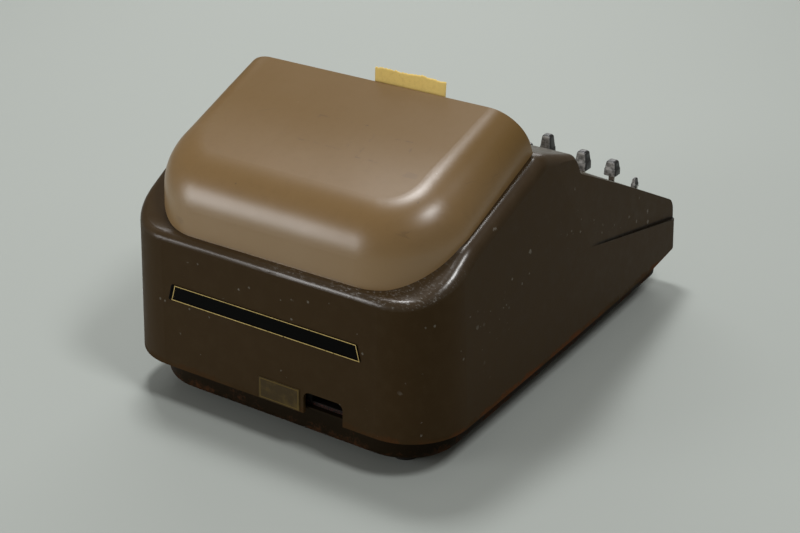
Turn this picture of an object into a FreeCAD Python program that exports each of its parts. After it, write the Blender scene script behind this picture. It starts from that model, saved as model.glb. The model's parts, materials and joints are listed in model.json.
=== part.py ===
import FreeCAD, Part
import math
import os

# Ten-key printing adding machine with a lift-off hood, in millimetres.
# Frame: +Z up, the keyboard faces -Y, the back is +Y, z = 0 is the table.

SIZES = {
    # casing shell
    "case_width": 267,
    "case_length": 368,
    "case_bottom": 31,
    "case_wall": 2.6,
    "side_bow": 1.5,
    "rear_radius": 44,
    "front_radius": 10,
    "case_draft": 2.2,
    "rim_rear_z": 131,
    "ramp_foot_in": 13,
    "ramp_foot_y": "=case_length / 2 - ramp_foot_in",
    "ramp_top_in": 54,
    "ramp_top_y": "=case_length / 2 - ramp_top_in",
    "ramp_top_z": 155,
    "deck_rear_y": 36,
    "deck_rear_z": 187,
    "deck_front_y": -9.5,
    "deck_front_z": 171.5,
    "step_foot_y": -16,
    "step_foot_z": 157.6,
    "nose_z": 73.5,
    "nose_inset": 3.5,
    "nose_round": 13,
    "ledge_rear_y": -30,
    "ledge_rear_z": 94.3,
    "ledge_front_z": 58,
    "front_taper": 3.5,
    "kick_run": 50,
    "kick_rise": 4.2,
    "crease_run": 56.6,
    "crease_rise": 84.7,
    "rim_round_rear": 5.5,
    "rim_round_side": 9,
    "key_rim_round": 3.5,
    "rim_rear_blend": 44,
    "rim_front_blend": 38,
    "rim_front_start": 11,
    # hood
    "hood_side_in": 13,
    "hood_half": "=case_width / 2 - hood_side_in",
    "hood_rear_in": 10.6,
    "hood_rear_y": "=case_length / 2 - hood_rear_in",
    "hood_corner": 55,
    "hood_draft": 3,
    "hood_top_y": 50,
    "hood_top_z": 218,
    "hood_slope": 19.5,
    "hood_lean": 22,
    "hood_wall": 3.2,
    "hood_round_side": 27,
    "hood_round_rear": 38,
    "round_clear": 0.5,
    "lip_depth": 5,
    "lip_inset": 2,
    "seat_inset": 1.5,
    # base pan and feet
    "pan_inset": 13,
    "pan_nose": -5,
    "pan_rear_radius": 54,
    "pan_front_radius": 20,
    "pan_bottom": 7,
    "pan_sheet": 1.5,
    "pan_round": 6,
    "pan_top": 35,
    "foot_radius": 11,
    "foot_side_in": 45.5,
    "foot_x": "=case_width / 2 - foot_side_in",
    "foot_rear_in": 38,
    "foot_rear_y": "=case_length / 2 - foot_rear_in",
    "foot_front_in": 52,
    "foot_front_y": "=foot_front_in - case_length / 2",
    "screw_radius": 2,
    "boss_rear_in": 88,
    "boss_rear_y": "=case_length / 2 - boss_rear_in",
    "boss_front_in": 72,
    "boss_front_y": "=boss_front_in - case_length / 2",
    "boss_inset": 8,
    "boss_top": 63,
    "boss_half": 5,
    "boss_bore": 14,
    "vent_width": 4,
    "vent_pitch": 9,
    "vent_length": 40,
    "vent_count": 8,
    # inlet
    "inlet_x": -47,
    "notch_width": 32,
    "notch_height": 16.5,
    "inlet_set_back": 7,
    "inlet_width": 36,
    "inlet_height": 18,
    "inlet_depth": 20,
    "mouth_width": 27,
    "mouth_height": 11,
    "mouth_depth": 14,
    "mouth_floor": 3,
    "pin_pitch": 12.7,
    "pin_radius": 1.9,
    "pin_length": 17,
    # plates on the back
    "rating_width": 34,
    "rating_height": 16.2,
    "rating_sheet": 0.5,
    "rating_x": -28,
    "name_slant": 3.2,
    "name_sheet": 0.8,
    "name_edge": 1.2,
    "name_sink": 0.3,
    "name_x": 3.2,
    "name_width": 160,
    "name_height": 11.8,
    "name_low": 52.5,
    # inner frame
    "frame_side_in": 33.5,
    "frame_x": "=case_width / 2 - frame_side_in",
    "frame_sheet": 2,
    "frame_rear_in": 32,
    "frame_rear_y": "=case_length / 2 - frame_rear_in",
    "frame_front_in": 64,
    "frame_front_y": "=frame_front_in - case_length / 2",
    "frame_foot": 14,
    "frame_bend": 12,
    "tie_low_z": 24,
    "tie_end_in": 16,
    "tie_radius": 4,
    "fit": 0.05,
    # keyboard
    "well_side_in": 16.5,
    "well_half": "=case_width / 2 - well_side_in",
    "well_rear": -27,
    "well_front_in": 30,
    "well_front": "=well_front_in - case_length / 2",
    "plate_sheet": 1.5,
    "plate_margin": 5,
    "key_gap": 4.6,
    "key_travel": 3.5,
    "stem_width": 4.5,
    "stem_sheet": 1.5,
    "guide_drop": 24,
    "digit_pitch": 22,
    "digit_y": -54,
    "digit_cap": 14,
    "digit_height": 9.5,
    "zero_width": 34,
    "side_cap": 11,
    "side_key_in": 13,
    "non_add_in": 35,
    "non_add_y": -50,
    "non_add_height": 19,
    "repeat_y": -64,
    "repeat_height": 13.5,
    "correction_up": 40,
    "correction_height": 14,
    "latch_in": 6,
    "latch_up": 13,
    "latch_width": 5,
    "latch_depth": 7,
    "latch_height": 5,
    "add_in": 39,
    "add_x": "=well_half - add_in",
    "add_gap": 36,
    "control_x": "=add_x - add_gap",
    "control_gap": 34,
    "digit_x": "=control_x - control_gap - 2 * digit_pitch",
    "add_y": -84,
    "add_width": 28,
    "add_depth": 54,
    # paper and platen
    "tape_width": 57.15,
    "tape_side_in": 73.3,
    "tape_x": "=tape_side_in - frame_x",
    "tape_sheet": 0.3,
    "tape_above": 12,
    "roll_radius": 30,
    "roll_y": 118,
    "roll_z": 137,
    "spindle_radius": 4,
    "platen_radius": 14,
    "platen_y": 52,
    "platen_z": 169,
    "platen_length": 70,
    "platen_shaft": 4,
    "pinch_radius": 5,
    "pinch_shaft": 2,
    "pinch_length": 12,
    "pinch_spread": 16,
    # printing and adding works
    "bar_pitch": 4.23,
    "bar_count": 9,
    "bar_sheet": 2.2,
    "bar_depth": 5,
    "bar_y": 24,
    "bar_low": 85,
    "bar_top": 150,
    "bar_play": 0.15,
    "type_pitch": 2.9,
    "type_height": 2,
    "type_rise": 0.8,
    "type_count": 6,
    "wheel_radius": 9,
    "wheel_y": 8,
    "wheel_z": 113,
    "rail_radius": 3,
    "carriage_length": 48,
    "spool_radius": 15,
    "spool_height": 14,
    "spool_flange": 1,
    "ribbon_pin": 1.5,
    "ribbon_sheet": 0.3,
    "spool_y": 76,
    "shelf_z": 164,
    "carriage_x": 8,
    "rail_y": -20,
    "rail_z": 79,
    "rail_pitch": 22,
    "carriage_edge": 6,
    "stop_pitch": 4.6,
    "stop_row": 3,
    "stop_width": 1.6,
    "stop_rise": 4,
    # motor and gears
    "motor_shaft_radius": 3,
    "idle_shaft_radius": 4,
    "motor_x": 16,
    "motor_radius": 30,
    "motor_y": 112,
    "motor_z": 50,
    "tooth_module": 1.25,
    "pinion_teeth": 14,
    "idle_teeth": 42,
    "main_teeth": 56,
    "gear_width": 6,
    "main_shaft_radius": 5,
    "cam_radius": 15,
    "cam_throw": 4,
    "cam_width": 5,
    "cam_x": -76,
    "cam_pitch": 68,
    "motor_step": 6,
    "motor_cap": 8,
    "motor_neck": 10,
    "motor_shoulder": 22,
}

doc = FreeCAD.newDocument("adding_machine")
V = FreeCAD.Vector
sheet = doc.addObject("Spreadsheet::Sheet", "sizes")
for row, alias in enumerate(SIZES, start=1):
    sheet.set("A%d" % row, alias)
    sheet.setAlias("B%d" % row, alias)
for row, entry in enumerate(SIZES.values(), start=1):
    sheet.set("B%d" % row, str(entry))
doc.recompute()

nodes = []


def size(alias):
    return float(sheet.get(alias))


def bind(thing, **links):
    for prop, text in links.items():
        thing.setExpression(prop, text)


def node(label, thing):
    thing.Label = label
    nodes.append(thing)
    return thing


def slope(angle):
    return math.tan(math.radians(angle))


XY = FreeCAD.Placement()
YZ = FreeCAD.Placement(V(0, 0, 0), FreeCAD.Rotation(V(1, 1, 1), 120))
ALONG_X = FreeCAD.Rotation(V(0, 1, 0), 90)
UP = V(0, 0, 1)
ACROSS = V(1, 0, 0)


def stand(x, y, z):
    return FreeCAD.Placement(V(x, y, z), FreeCAD.Rotation())


def side_on(x):
    # place of an outline in side view, at a distance across the machine
    return FreeCAD.Placement(V(x, 0, 0), YZ.Rotation)


# Outlines: closed loops of (u, v, corner radius)
def loop_geometry(points):
    corners = []
    count = len(points)
    for i in range(count):
        p = V(points[i][0], points[i][1], 0)
        before = V(points[i - 1][0], points[i - 1][1], 0) - p
        after = V(points[(i + 1) % count][0], points[(i + 1) % count][1], 0) - p
        r = points[i][2]
        if r <= 0:
            corners.append((p, p, None))
            continue
        half = before.getAngle(after) / 2
        run = r / math.tan(half)
        a = p + before.normalize() * run
        b = p + after.normalize() * run
        mid_way = (before + after).normalize()
        centre = p + mid_way * (r / math.sin(half))
        corners.append((a, b, Part.Arc(a, centre - mid_way * r, b)))
    edges = []
    for i in range(count):
        if corners[i][2] is not None:
            edges.append(corners[i][2])
        start = corners[i][1]
        end = corners[(i + 1) % count][0]
        if start.distanceToPoint(end) > 1e-4:
            edges.append(Part.LineSegment(start, end))
    return edges


def shift_loop(points, distance):
    # moves every side of a counter-clockwise loop inwards
    lines = []
    count = len(points)
    for i in range(count):
        a = V(points[i][0], points[i][1], 0)
        b = V(points[(i + 1) % count][0], points[(i + 1) % count][1], 0)
        along = (b - a).normalize()
        lines.append((a + V(-along.y, along.x, 0) * distance, along))
    out = []
    for i in range(count):
        p, d = lines[i - 1]
        q, e = lines[i]
        cross = d.x * e.y - d.y * e.x
        run = ((q.x - p.x) * e.y - (q.y - p.y) * e.x) / cross
        r = points[i][2]
        if r > 0:
            r = max(0.6, r - distance) if cross > 0 else r + distance
        out.append((p.x + d.x * run, p.y + d.y * run, r))
    return out


# Helpers that add objects to the document
def extrusion(name, geometry, placement, direction, length, taper=0.0, both=False, **links):
    sketch = doc.addObject("Sketcher::SketchObject", name + "_outline")
    sketch.Placement = placement
    sketch.addGeometry(geometry, False)
    solid = doc.addObject("Part::Extrusion", name)
    solid.Base = sketch
    solid.DirMode = "Custom"
    solid.Dir = direction
    solid.LengthFwd = length
    solid.Symmetric = both
    solid.Solid = True
    solid.TaperAngle = taper
    bind(solid, **links)
    return solid


def boolean(kind, name, base, tool):
    solid = doc.addObject("Part::" + kind, name)
    solid.Base = base
    solid.Tool = tool
    return solid


def group(name, pieces):
    joined = doc.addObject("Part::Compound", name)
    joined.Links = pieces
    return joined


def fuse(name, pieces):
    joined = doc.addObject("Part::MultiFuse", name)
    joined.Shapes = pieces
    return joined


def cut(name, base, tools):
    tool = tools[0] if len(tools) == 1 else group(name + "_tools", tools)
    return boolean("Cut", name, base, tool)


def box(name, low, high):
    solid = doc.addObject("Part::Box", name)
    solid.Length, solid.Width, solid.Height = (b - a for a, b in zip(low, high))
    solid.Placement.Base = V(*low)
    return solid


def rod(name, start, length, radius, rotation=ALONG_X, **links):
    solid = doc.addObject("Part::Cylinder", name)
    solid.Radius = radius
    solid.Height = length
    solid.Placement = FreeCAD.Placement(V(*start), rotation)
    bind(solid, **links)
    return solid


def mirrored(name, source):
    other = doc.addObject("Part::Mirroring", name)
    other.Source = source
    other.Normal = ACROSS
    return other


def rounded(name, base, radius_at, wanted):
    # rounds the picked edges, each with its own radius at either end
    doc.recompute()
    picked = []
    for number, edge in enumerate(base.Shape.Edges, start=1):
        middle = edge.valueAt((edge.FirstParameter + edge.LastParameter) / 2)
        if wanted(middle):
            ends = [radius_at(corner.Point) for corner in edge.Vertexes]
            picked.append((number, ends[0], ends[-1]))
    solid = doc.addObject("Part::Fillet", name)
    solid.Base = base
    solid.Edges = picked
    return solid


# Casing: a drafted plan block met by a side profile, hollowed by a smaller copy
half_width = size("case_width") / 2
half_length = size("case_length") / 2
case_bottom = size("case_bottom")
bow_radius = half_length ** 2 / (2 * size("side_bow"))


def side_x(y, z=None):
    # half width of the casing at a place along its length, with draft when z is given
    x = half_width - bow_radius + math.sqrt(bow_radius ** 2 - y ** 2)
    if z is not None:
        x -= (z - case_bottom) * slope(size("case_draft"))
    return x


def bowed_plan(inset, owner="", nose=0):
    # plan outline with bowed sides, straight ends and a rounding in each corner
    big = bow_radius - inset
    cx = half_width - bow_radius
    ends = []
    for way, r, end in ((1, size(owner + "rear_radius"), half_length - inset),
                        (-1, size(owner + "front_radius"), half_length - inset - nose)):
        r = max(1.0, r - inset)
        cy = end - r
        ox = cx + math.sqrt((big - r) ** 2 - cy ** 2)
        out = V(ox - cx, way * cy, 0).normalize()
        touch = V(cx, 0, 0) + out * big
        middle = V(ox, way * cy, 0) + (out + V(0, way, 0)).normalize() * r
        ends.append((touch, middle, V(ox, way * end, 0)))

    def flip(p):
        return V(-p.x, p.y, 0)

    (side_rear, mid_rear, rear), (side_front, mid_front, front) = ends
    side = V(cx + big, 0, 0)
    return [
        Part.Arc(side_front, side, side_rear),
        Part.Arc(side_rear, mid_rear, rear),
        Part.LineSegment(rear, flip(rear)),
        Part.Arc(flip(rear), flip(mid_rear), flip(side_rear)),
        Part.Arc(flip(side_rear), flip(side), flip(side_front)),
        Part.Arc(flip(side_front), flip(mid_front), flip(front)),
        Part.LineSegment(flip(front), front),
        Part.Arc(front, mid_front, side_front),
    ]


nose_y = -half_length + size("nose_inset")


def case_profile(inset=0.0):
    # side view of the casing: rear rim, ramp, deck, step, keyboard and nose
    back = half_length + 20
    ahead = -half_length - 20
    loop = [
        (ahead, case_bottom, 0),
        (back, case_bottom, 0),
        (back, size("rim_rear_z"), 0),
        (size("ramp_foot_y"), size("rim_rear_z"), 18),
        (size("ramp_top_y"), size("ramp_top_z"), 40),
        (size("deck_rear_y"), size("deck_rear_z"), 16),
        (size("deck_front_y"), size("deck_front_z"), 10),
        (size("step_foot_y"), size("step_foot_z"), 6),
        (nose_y, size("nose_z"), 0),
        (nose_y, size("ledge_front_z"), 0),
        (ahead, size("ledge_front_z") - 4.5, 0),
    ]
    if inset:
        loop = shift_loop(loop, inset)
        below = case_bottom - 4
        loop[0] = (loop[0][0], below, 0)
        loop[1] = (loop[1][0], below, 0)
    return loop


def profile_z(y):
    # height of the sharp side profile over a place along the length
    corners = [(u, v) for u, v, r in case_profile()[2:9]]
    for (y1, z1), (y2, z2) in zip(corners, corners[1:]):
        if y2 <= y <= y1:
            return z1 + (z2 - z1) * (y - y1) / (y2 - y1)
    return corners[-1][1]


def case_block(name, inset):
    low = case_bottom - (3 if inset else 0)
    spread = 3 * slope(size("case_draft")) if inset else 0
    plan = extrusion(name + "_plan", bowed_plan(inset - spread), stand(0, 0, low), UP,
                     size("deck_rear_z"), -size("case_draft"), TaperAngle="-sizes.case_draft",
                     LengthFwd="sizes.deck_rear_z")
    side = extrusion(name + "_side", loop_geometry(case_profile(inset)), YZ, ACROSS,
                     size("case_width") + 40, both=True, LengthFwd="sizes.case_width + 40")
    return boolean("Common", name + "_mass", plan, side)


def front_wedges(name, inset):
    # take the front quarters in above the ledge, from nothing at the crease
    fall = size("ledge_rear_z") - size("ledge_front_z")
    angle = math.degrees(math.atan2(fall, half_length + size("ledge_rear_y")))
    reach = -(half_length + 14 + size("ledge_rear_y")) / math.cos(math.radians(angle))
    near = side_x(size("ledge_rear_y"), size("ledge_rear_z")) - inset
    far = side_x(half_length, size("ledge_front_z")) - size("front_taper") - inset
    wedge = [(near, 0, 0), (far, reach, 0), (near + 60, reach, 0), (near + 60, 0, 0)]
    place = FreeCAD.Placement(V(0, size("ledge_rear_y"), size("ledge_rear_z") - inset),
                              FreeCAD.Rotation(ACROSS, angle))
    lean = V(-slope(size("case_draft")) * size("crease_rise"), size("crease_run"), size("crease_rise"))
    right = extrusion(name + "_right", loop_geometry(wedge), place, lean.normalize(), 190)
    return [right, mirrored(name + "_left", right)]


def nose_rounding(name, inset, radius):
    # the waste outside the rounding between the keyboard slope and the nose
    corner = case_profile(inset)[8]
    before = case_profile(inset)[7]
    p = V(corner[0], corner[1], 0)
    up = (V(before[0], before[1], 0) - p).normalize()
    down = V(0, -1, 0)
    half = up.getAngle(down) / 2
    run = radius / math.tan(half)
    middle = (up + down).normalize()
    centre = p + middle * (radius / math.sin(half))
    a = p + up * run
    b = p + down * run
    far = p - middle * 30
    waste = [Part.Arc(a, centre - middle * radius, b), Part.LineSegment(b, far), Part.LineSegment(far, a)]
    return extrusion(name, waste, YZ, ACROSS, size("case_width") + 40, both=True,
                     LengthFwd="sizes.case_width + 40")


def rim_radius(p):
    # small along the back, full along the sides, small again beside the keyboard
    rear, side, front = size("rim_round_rear"), size("rim_round_side"), size("key_rim_round")
    if p.y > size("deck_front_y") + 6:
        share = (half_length - 4 - p.y) / size("rim_rear_blend")
        return rear + (side - rear) * min(1, max(0, share))
    share = (p.y - size("step_foot_y") + size("rim_front_start")) / size("rim_front_blend")
    return front + (side - front) * min(1, max(0, share))


def on_rim(p):
    across = abs(p.x) < half_width / 2 and p.y < half_length - 6
    return not across and abs(p.z - profile_z(p.y)) < 4 and p.z > size("nose_z")


def is_outer_edge(p):
    return on_rim(p) and (abs(p.x) > side_x(p.y, p.z) - 0.5 or p.y > 0)


case_round = rounded("case_round", case_block("case_outer", 0), rim_radius, is_outer_edge)
case_skin = cut("case_skin", case_round, front_wedges("case_wedge", 0))
case_skin = cut("case_nose", case_skin, [nose_rounding("nose_waste", 0, size("nose_round"))])
kick_loop = [(size("kick_run") - half_length, case_bottom, 0),
             (-2 * size("kick_run") - half_length, case_bottom, 0),
             (-size("kick_run") - half_length, case_bottom + 2 * size("kick_rise"), 0)]
kick = extrusion("front_kick", loop_geometry(kick_loop), YZ, ACROSS, size("case_width") + 40, both=True,
                 LengthFwd="sizes.case_width + 40")
case_skin = cut("case_kick", case_skin, [kick])
wall = size("case_wall")
case_core = cut("case_core", case_block("case_inner", wall), front_wedges("core_wedge", wall))
case_shell = cut("case_shell", case_skin, [case_core])


# Hood: the same way of building, with its own draft and a rounding that grows at the back
def hood_plan(inset):
    x = size("hood_half") - inset
    rear = size("hood_rear_y") - inset
    r = size("hood_corner") - inset
    return loop_geometry([(-x, 0, 0), (x, 0, 0), (x, rear, r), (-x, rear, r)])


def rim_line(drop):
    # the seam between hood and casing in side view, from the front to beyond the back
    return [
        (size("ramp_top_y"), size("ramp_top_z") - drop, 40),
        (size("ramp_foot_y"), size("rim_rear_z") - drop, 18),
        (half_length + 30, size("rim_rear_z") - drop, 0),
    ]


hood_fall = slope(size("hood_slope"))
hood_cos = math.cos(math.radians(size("hood_slope")))


def hood_z(y, inset=0.0):
    return size("hood_top_z") - (y - size("hood_top_y")) * hood_fall - inset / hood_cos


def hood_front_y(z):
    return size("hood_top_y") - (size("hood_top_z") - z) * slope(size("hood_lean"))


def hood_profile(inset, drop, ahead):
    low = size("deck_rear_z") - drop
    front = size("hood_top_y") - ahead
    back = half_length + 30
    return [(hood_front_y(low) - ahead, low, 0)] + rim_line(drop) + [
        (back, hood_z(back, inset), 0),
        (front, hood_z(front, inset), 0),
    ]


def hood_prism(name, inset, length=130):
    low = size("rim_rear_z") - 22
    spread = (size("rim_rear_z") - low) * slope(size("hood_draft"))
    return extrusion(name, hood_plan(inset - spread), stand(0, 0, low), UP, length,
                     -size("hood_draft"), TaperAngle="-sizes.hood_draft")


def across(name, loop):
    return extrusion(name, loop_geometry(loop), YZ, ACROSS, size("case_width") + 40, both=True,
                     LengthFwd="sizes.case_width + 40")


def back_share(y):
    # how far a place lies from the hood's top edge (0) to its back (1)
    return (y - size("hood_top_y")) / (size("hood_rear_y") - size("hood_top_y"))


def hood_block(name, inset, drop, ahead):
    # the rounding grows to the back and stays within the side wall above the ramp's top
    side_wall = hood_z(size("ramp_top_y")) - size("ramp_top_z") - size("round_clear")
    side = size("hood_round_side")
    rear = min(size("hood_round_rear"), side + (side_wall - side) / back_share(size("ramp_top_y")))
    mass = boolean("Common", name + "_mass", hood_prism(name + "_plan", inset),
                   across(name + "_side", hood_profile(inset, drop, ahead)))

    def radius_at(p):
        return side + (rear - side) * min(1, max(0, back_share(p.y))) - inset

    def wanted(p):
        outer = abs(p.x) > size("hood_half") / 2 or p.y > size("hood_rear_y") - 20
        return outer and abs(p.z - hood_z(p.y, inset)) < 0.05

    return rounded(name + "_round", mass, radius_at, wanted)


lip_front = hood_front_y(size("deck_rear_z")) + 6
lip_low, lip_high = size("lip_depth"), -8
lip_band = [(lip_front, size("deck_rear_z") - lip_low - 1.5, 0)] + rim_line(lip_low)[:2] + [
    (half_length + 30, size("rim_rear_z") - lip_low, 0),
    (half_length + 30, size("rim_rear_z") - lip_high, 0),
] + list(reversed(rim_line(lip_high)[:2])) + [(lip_front, size("deck_rear_z") - lip_high - 2, 0)]
lip_plan = hood_prism("hood_lip_plan", size("lip_inset"))
hood_lip = boolean("Common", "hood_lip", lip_plan, across("lip_band", lip_band))
hood_outer = fuse("hood_body", [hood_block("hood_outer", 0, 0, 0), hood_lip])
hood_shell = cut("hood_shell", hood_outer, [hood_block("hood_inner", size("hood_wall"), 14, 14)])

# The casing gets its openings: hood seat, keyboard well and inlet notch
seat_front = hood_front_y(size("deck_rear_z")) + 2
seat = boolean("Common", "seat_opening", hood_prism("seat_plan", size("seat_inset")),
               box("seat_reach", (-200, seat_front, 60), (200, 300, 300)))
well_x, well_front, well_rear = size("well_half"), size("well_front"), size("well_rear")
well_round = 9
well_loop = [(-well_x, well_front, well_round), (well_x, well_front, well_round),
             (well_x, well_rear, well_round), (-well_x, well_rear, well_round)]
well = extrusion("well", loop_geometry(well_loop), stand(0, 0, 60), UP, 120)

notch_z, notch_round = case_bottom + size("notch_height"), 5
notch_low = size("inlet_x") - size("notch_width") / 2
notch_high = size("inlet_x") + size("notch_width") / 2
notch_loop = [(notch_low, 0, 0), (notch_high, 0, 0), (notch_high, notch_z, notch_round),
              (notch_low, notch_z, notch_round)]
notch_place = FreeCAD.Placement(V(0, half_length + 8, 0), FreeCAD.Rotation(ACROSS, 90))
notch = extrusion("inlet_notch", loop_geometry(notch_loop), notch_place, V(0, -1, 0), 20)


def upright_rod(name, x, y, low, high, radius, **links):
    return rod(name, (x, y, low), high - low, radius, FreeCAD.Rotation(), **links)


screw_hole = size("screw_radius") + size("fit")
boss_places = [(side, y) for side in (-1, 1) for y in (size("boss_rear_y"), size("boss_front_y"))]


def boss_x(y):
    return side_x(y) - size("boss_inset")


bosses = []
boss_holes = []
for number, (side, y) in enumerate(boss_places):
    boss_half, boss_top = size("boss_half"), size("boss_top")
    inner, outer_x = boss_x(y) - boss_half, side_x(y, boss_top) - 1
    low_x, high_x = (inner, outer_x) if side > 0 else (-outer_x, -inner)
    low, high = (low_x, y - boss_half, size("pan_top")), (high_x, y + boss_half, boss_top)
    bosses.append(box("boss_%d" % number, low, high))
    bore_top = size("pan_top") + size("boss_bore")
    boss_holes.append(upright_rod("boss_hole_%d" % number, side * boss_x(y), y, 0, bore_top, screw_hole))
case_bossed = fuse("case_bossed", [case_shell] + bosses)
node("main_casing", cut("main_casing", case_bossed, [seat, well, notch] + boss_holes))

# Base pan: a tub with a turned-out flange under the casing edge
pan_bottom, pan_top, sheet_pan = size("pan_bottom"), size("pan_top"), size("pan_sheet")


def pan_tub(name, inset, low, high):
    plan = bowed_plan(size("pan_inset") + inset, "pan_", size("pan_nose"))
    tub = extrusion(name, plan, stand(0, 0, low), UP, high - low)
    radius = size("pan_round") - inset
    return rounded(name + "_round", tub, lambda p: radius, lambda p: abs(p.z - low) < 1e-6)


flange_gap = 0.6
pan_flange = extrusion("pan_flange", bowed_plan(size("case_wall") + flange_gap),
                       stand(0, 0, pan_top - sheet_pan), UP, sheet_pan, LengthFwd="sizes.pan_sheet")
pan_mass = fuse("pan_mass", [pan_tub("pan_outer", 0, pan_bottom, pan_top), pan_flange])
pan_hollow = pan_tub("pan_inner", sheet_pan, pan_bottom + sheet_pan, pan_top + 5)
foot_places = [(x, y) for x in (-size("foot_x"), size("foot_x"))
               for y in (size("foot_rear_y"), size("foot_front_y"))]
frame_screw_x = size("frame_x") - size("frame_foot") / 2
frame_screw_ends = (size("frame_front_y") + 20, size("frame_rear_y") - 34)
frame_screw_places = [(x, y) for x in (-frame_screw_x, frame_screw_x) for y in frame_screw_ends]
pan_holes = [upright_rod("pan_hole_%d" % i, x, y, 0, pan_top + 1, screw_hole)
             for i, (x, y) in enumerate(foot_places + frame_screw_places)]
vent_front, vent_width = size("motor_y") - 0.9 * size("motor_radius"), size("vent_width")
vents = []
for number in range(int(size("vent_count"))):
    x = size("motor_x") + vent_width + number * size("vent_pitch")
    low, high = (x, vent_front, 0), (x + vent_width, vent_front + size("vent_length"), pan_bottom + 4)
    vents.append(box("vent_%d" % number, low, high))
node("base_pan", cut("base_pan", pan_mass, [pan_hollow] + pan_holes + boss_holes + vents))

# Rubber feet with a sunk screw each
feet = []
foot_screws = []
for number, (x, y) in enumerate(foot_places):
    foot = doc.addObject("Part::Cone", "foot_cone_%d" % number)
    bind(foot, Radius1="sizes.foot_radius - 1", Radius2="sizes.foot_radius", Height="sizes.pan_bottom")
    foot.Placement.Base = V(x, y, 0)
    sink = upright_rod("foot_sink_%d" % number, x, y, -1, 4.2, 4.8)
    hole = upright_rod("foot_hole_%d" % number, x, y, 0, 20, screw_hole)
    feet.append(cut("foot_%d" % number, foot, [fuse("foot_waste_%d" % number, [sink, hole])]))
    head = upright_rod("foot_head_%d" % number, x, y, 1.8, 4.2, 4.2)
    shank = upright_rod("foot_shank_%d" % number, x, y, 4.2, 14, 2, Radius="sizes.screw_radius")
    foot_screws.append(fuse("foot_screw_%d" % number, [head, shank]))
node("rubber_feet", group("rubber_feet", feet))
node("foot_screws", group("foot_screws", foot_screws))


# Screws that hold the casing and the inner frame to the pan, put in from below
def pan_screw(name, x, y, seat_z, top):
    head = upright_rod(name + "_head", x, y, seat_z - 2, seat_z, 3.6)
    shank = upright_rod(name + "_shank", x, y, seat_z, top, 2, Radius="sizes.screw_radius")
    return fuse(name, [head, shank])


pan_screws = [pan_screw("case_screw_%d" % i, side * boss_x(y), y, pan_top - sheet_pan, pan_top + 12)
              for i, (side, y) in enumerate(boss_places)]
pan_screws += [pan_screw("frame_screw_%d" % i, x, y, pan_bottom, pan_bottom + sheet_pan + 4)
               for i, (x, y) in enumerate(frame_screw_places)]
node("pan_screws", group("pan_screws", pan_screws))

# Side frames: one outline, with bearing holes for every shaft that crosses
frame_x, frame_sheet = size("frame_x"), size("frame_sheet")
fit = size("fit")
floor_z = pan_bottom + sheet_pan
pinion_step = size("tooth_module") * (size("pinion_teeth") + size("idle_teeth")) / 2
main_step = size("tooth_module") * (size("pinion_teeth") + size("main_teeth")) / 2
motor = V(0, size("motor_y"), size("motor_z"))
idle_angle, main_angle = 170, 185


def from_axis(axis, distance, angle):
    return axis + V(0, math.cos(math.radians(angle)), math.sin(math.radians(angle))) * distance


idle = from_axis(motor, pinion_step, idle_angle)
main = from_axis(idle, main_step, main_angle)
frame_rear, frame_front = size("frame_rear_y"), size("frame_front_y")
tie_in, tie_low = size("tie_end_in"), size("tie_low_z")
tie_high = size("roll_z") - size("roll_radius") - 3 * size("tie_radius")
tie_places = [(size("motor_y") - 2 * size("motor_radius"), tie_low), (frame_rear - tie_in, tie_high),
              (frame_front + tie_in, tie_low), (frame_front + 58, tie_low + 35)]
rail_places = [(size("rail_y"), size("rail_z")), (size("rail_y") + size("rail_pitch"), size("rail_z"))]
pinch_gap, pinch_angle = 1, 215
pinch = from_axis(V(0, size("platen_y"), size("platen_z")),
                  size("platen_radius") + size("pinch_radius") + pinch_gap, pinch_angle)
bend = size("frame_bend")
frame_loop = [
    (frame_front, floor_z, 0),
    (frame_rear, floor_z, 0),
    (frame_rear, size("rim_rear_z") - 18, bend),
    (frame_rear - 12, size("ramp_top_z") - 6, bend),
    (size("roll_y") - 14, size("roll_z") + 24, bend),
    (size("platen_y") + 14, size("platen_z") + 14, 8),
    (size("platen_y") - 12, size("platen_z") + 14, 6),
    (size("platen_y") - 24, size("platen_z") - 10, bend),
    (size("wheel_y"), size("wheel_z") + 21, bend),
    (size("rail_y") - 4, size("rail_z") + 28, bend),
    (frame_front, 55, bend),
]
window_round = bend / 2
front_window = [(frame_front + 30, tie_low - 4), (size("rail_y"), tie_low - 4),
                (size("rail_y"), tie_low + 24), (frame_front + 60, tie_low + 12)]
rear_window = [(size("platen_y") + 8, 105), (size("roll_y") - 34, 105), (size("roll_y") - 34, 125),
               (size("platen_y") + 8, 137)]
windows = [[corner + (window_round,) for corner in loop] for loop in (front_window, rear_window)]


def side_frame(name, low_x, holes):
    plate = extrusion(name + "_plate", loop_geometry(frame_loop), side_on(low_x), ACROSS, frame_sheet,
                      LengthFwd="sizes.frame_sheet")
    inner = low_x + frame_sheet if low_x < 0 else low_x
    reach = size("frame_foot")
    span = (inner, inner + reach) if low_x < 0 else (inner - reach, inner)
    foot = box(name + "_foot", (span[0], frame_front + 8, floor_z),
               (span[1], frame_rear - 22, floor_z + frame_sheet))
    start, through = low_x - 5, frame_sheet + 10
    tools = [extrusion(name + "_window_%d" % i, loop_geometry(window), side_on(start), ACROSS, through)
             for i, window in enumerate(windows)]
    tools += [rod(name + "_hole_%d" % i, (start, y, z), through, radius + fit)
              for i, (y, z, radius) in enumerate(holes)]
    tools += [upright_rod(name + "_screw_hole_%d" % i, x, y, 0, 20, screw_hole)
              for i, (x, y) in enumerate(frame_screw_places)]
    return cut(name, fuse(name + "_bent", [plate, foot]), tools)


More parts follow.
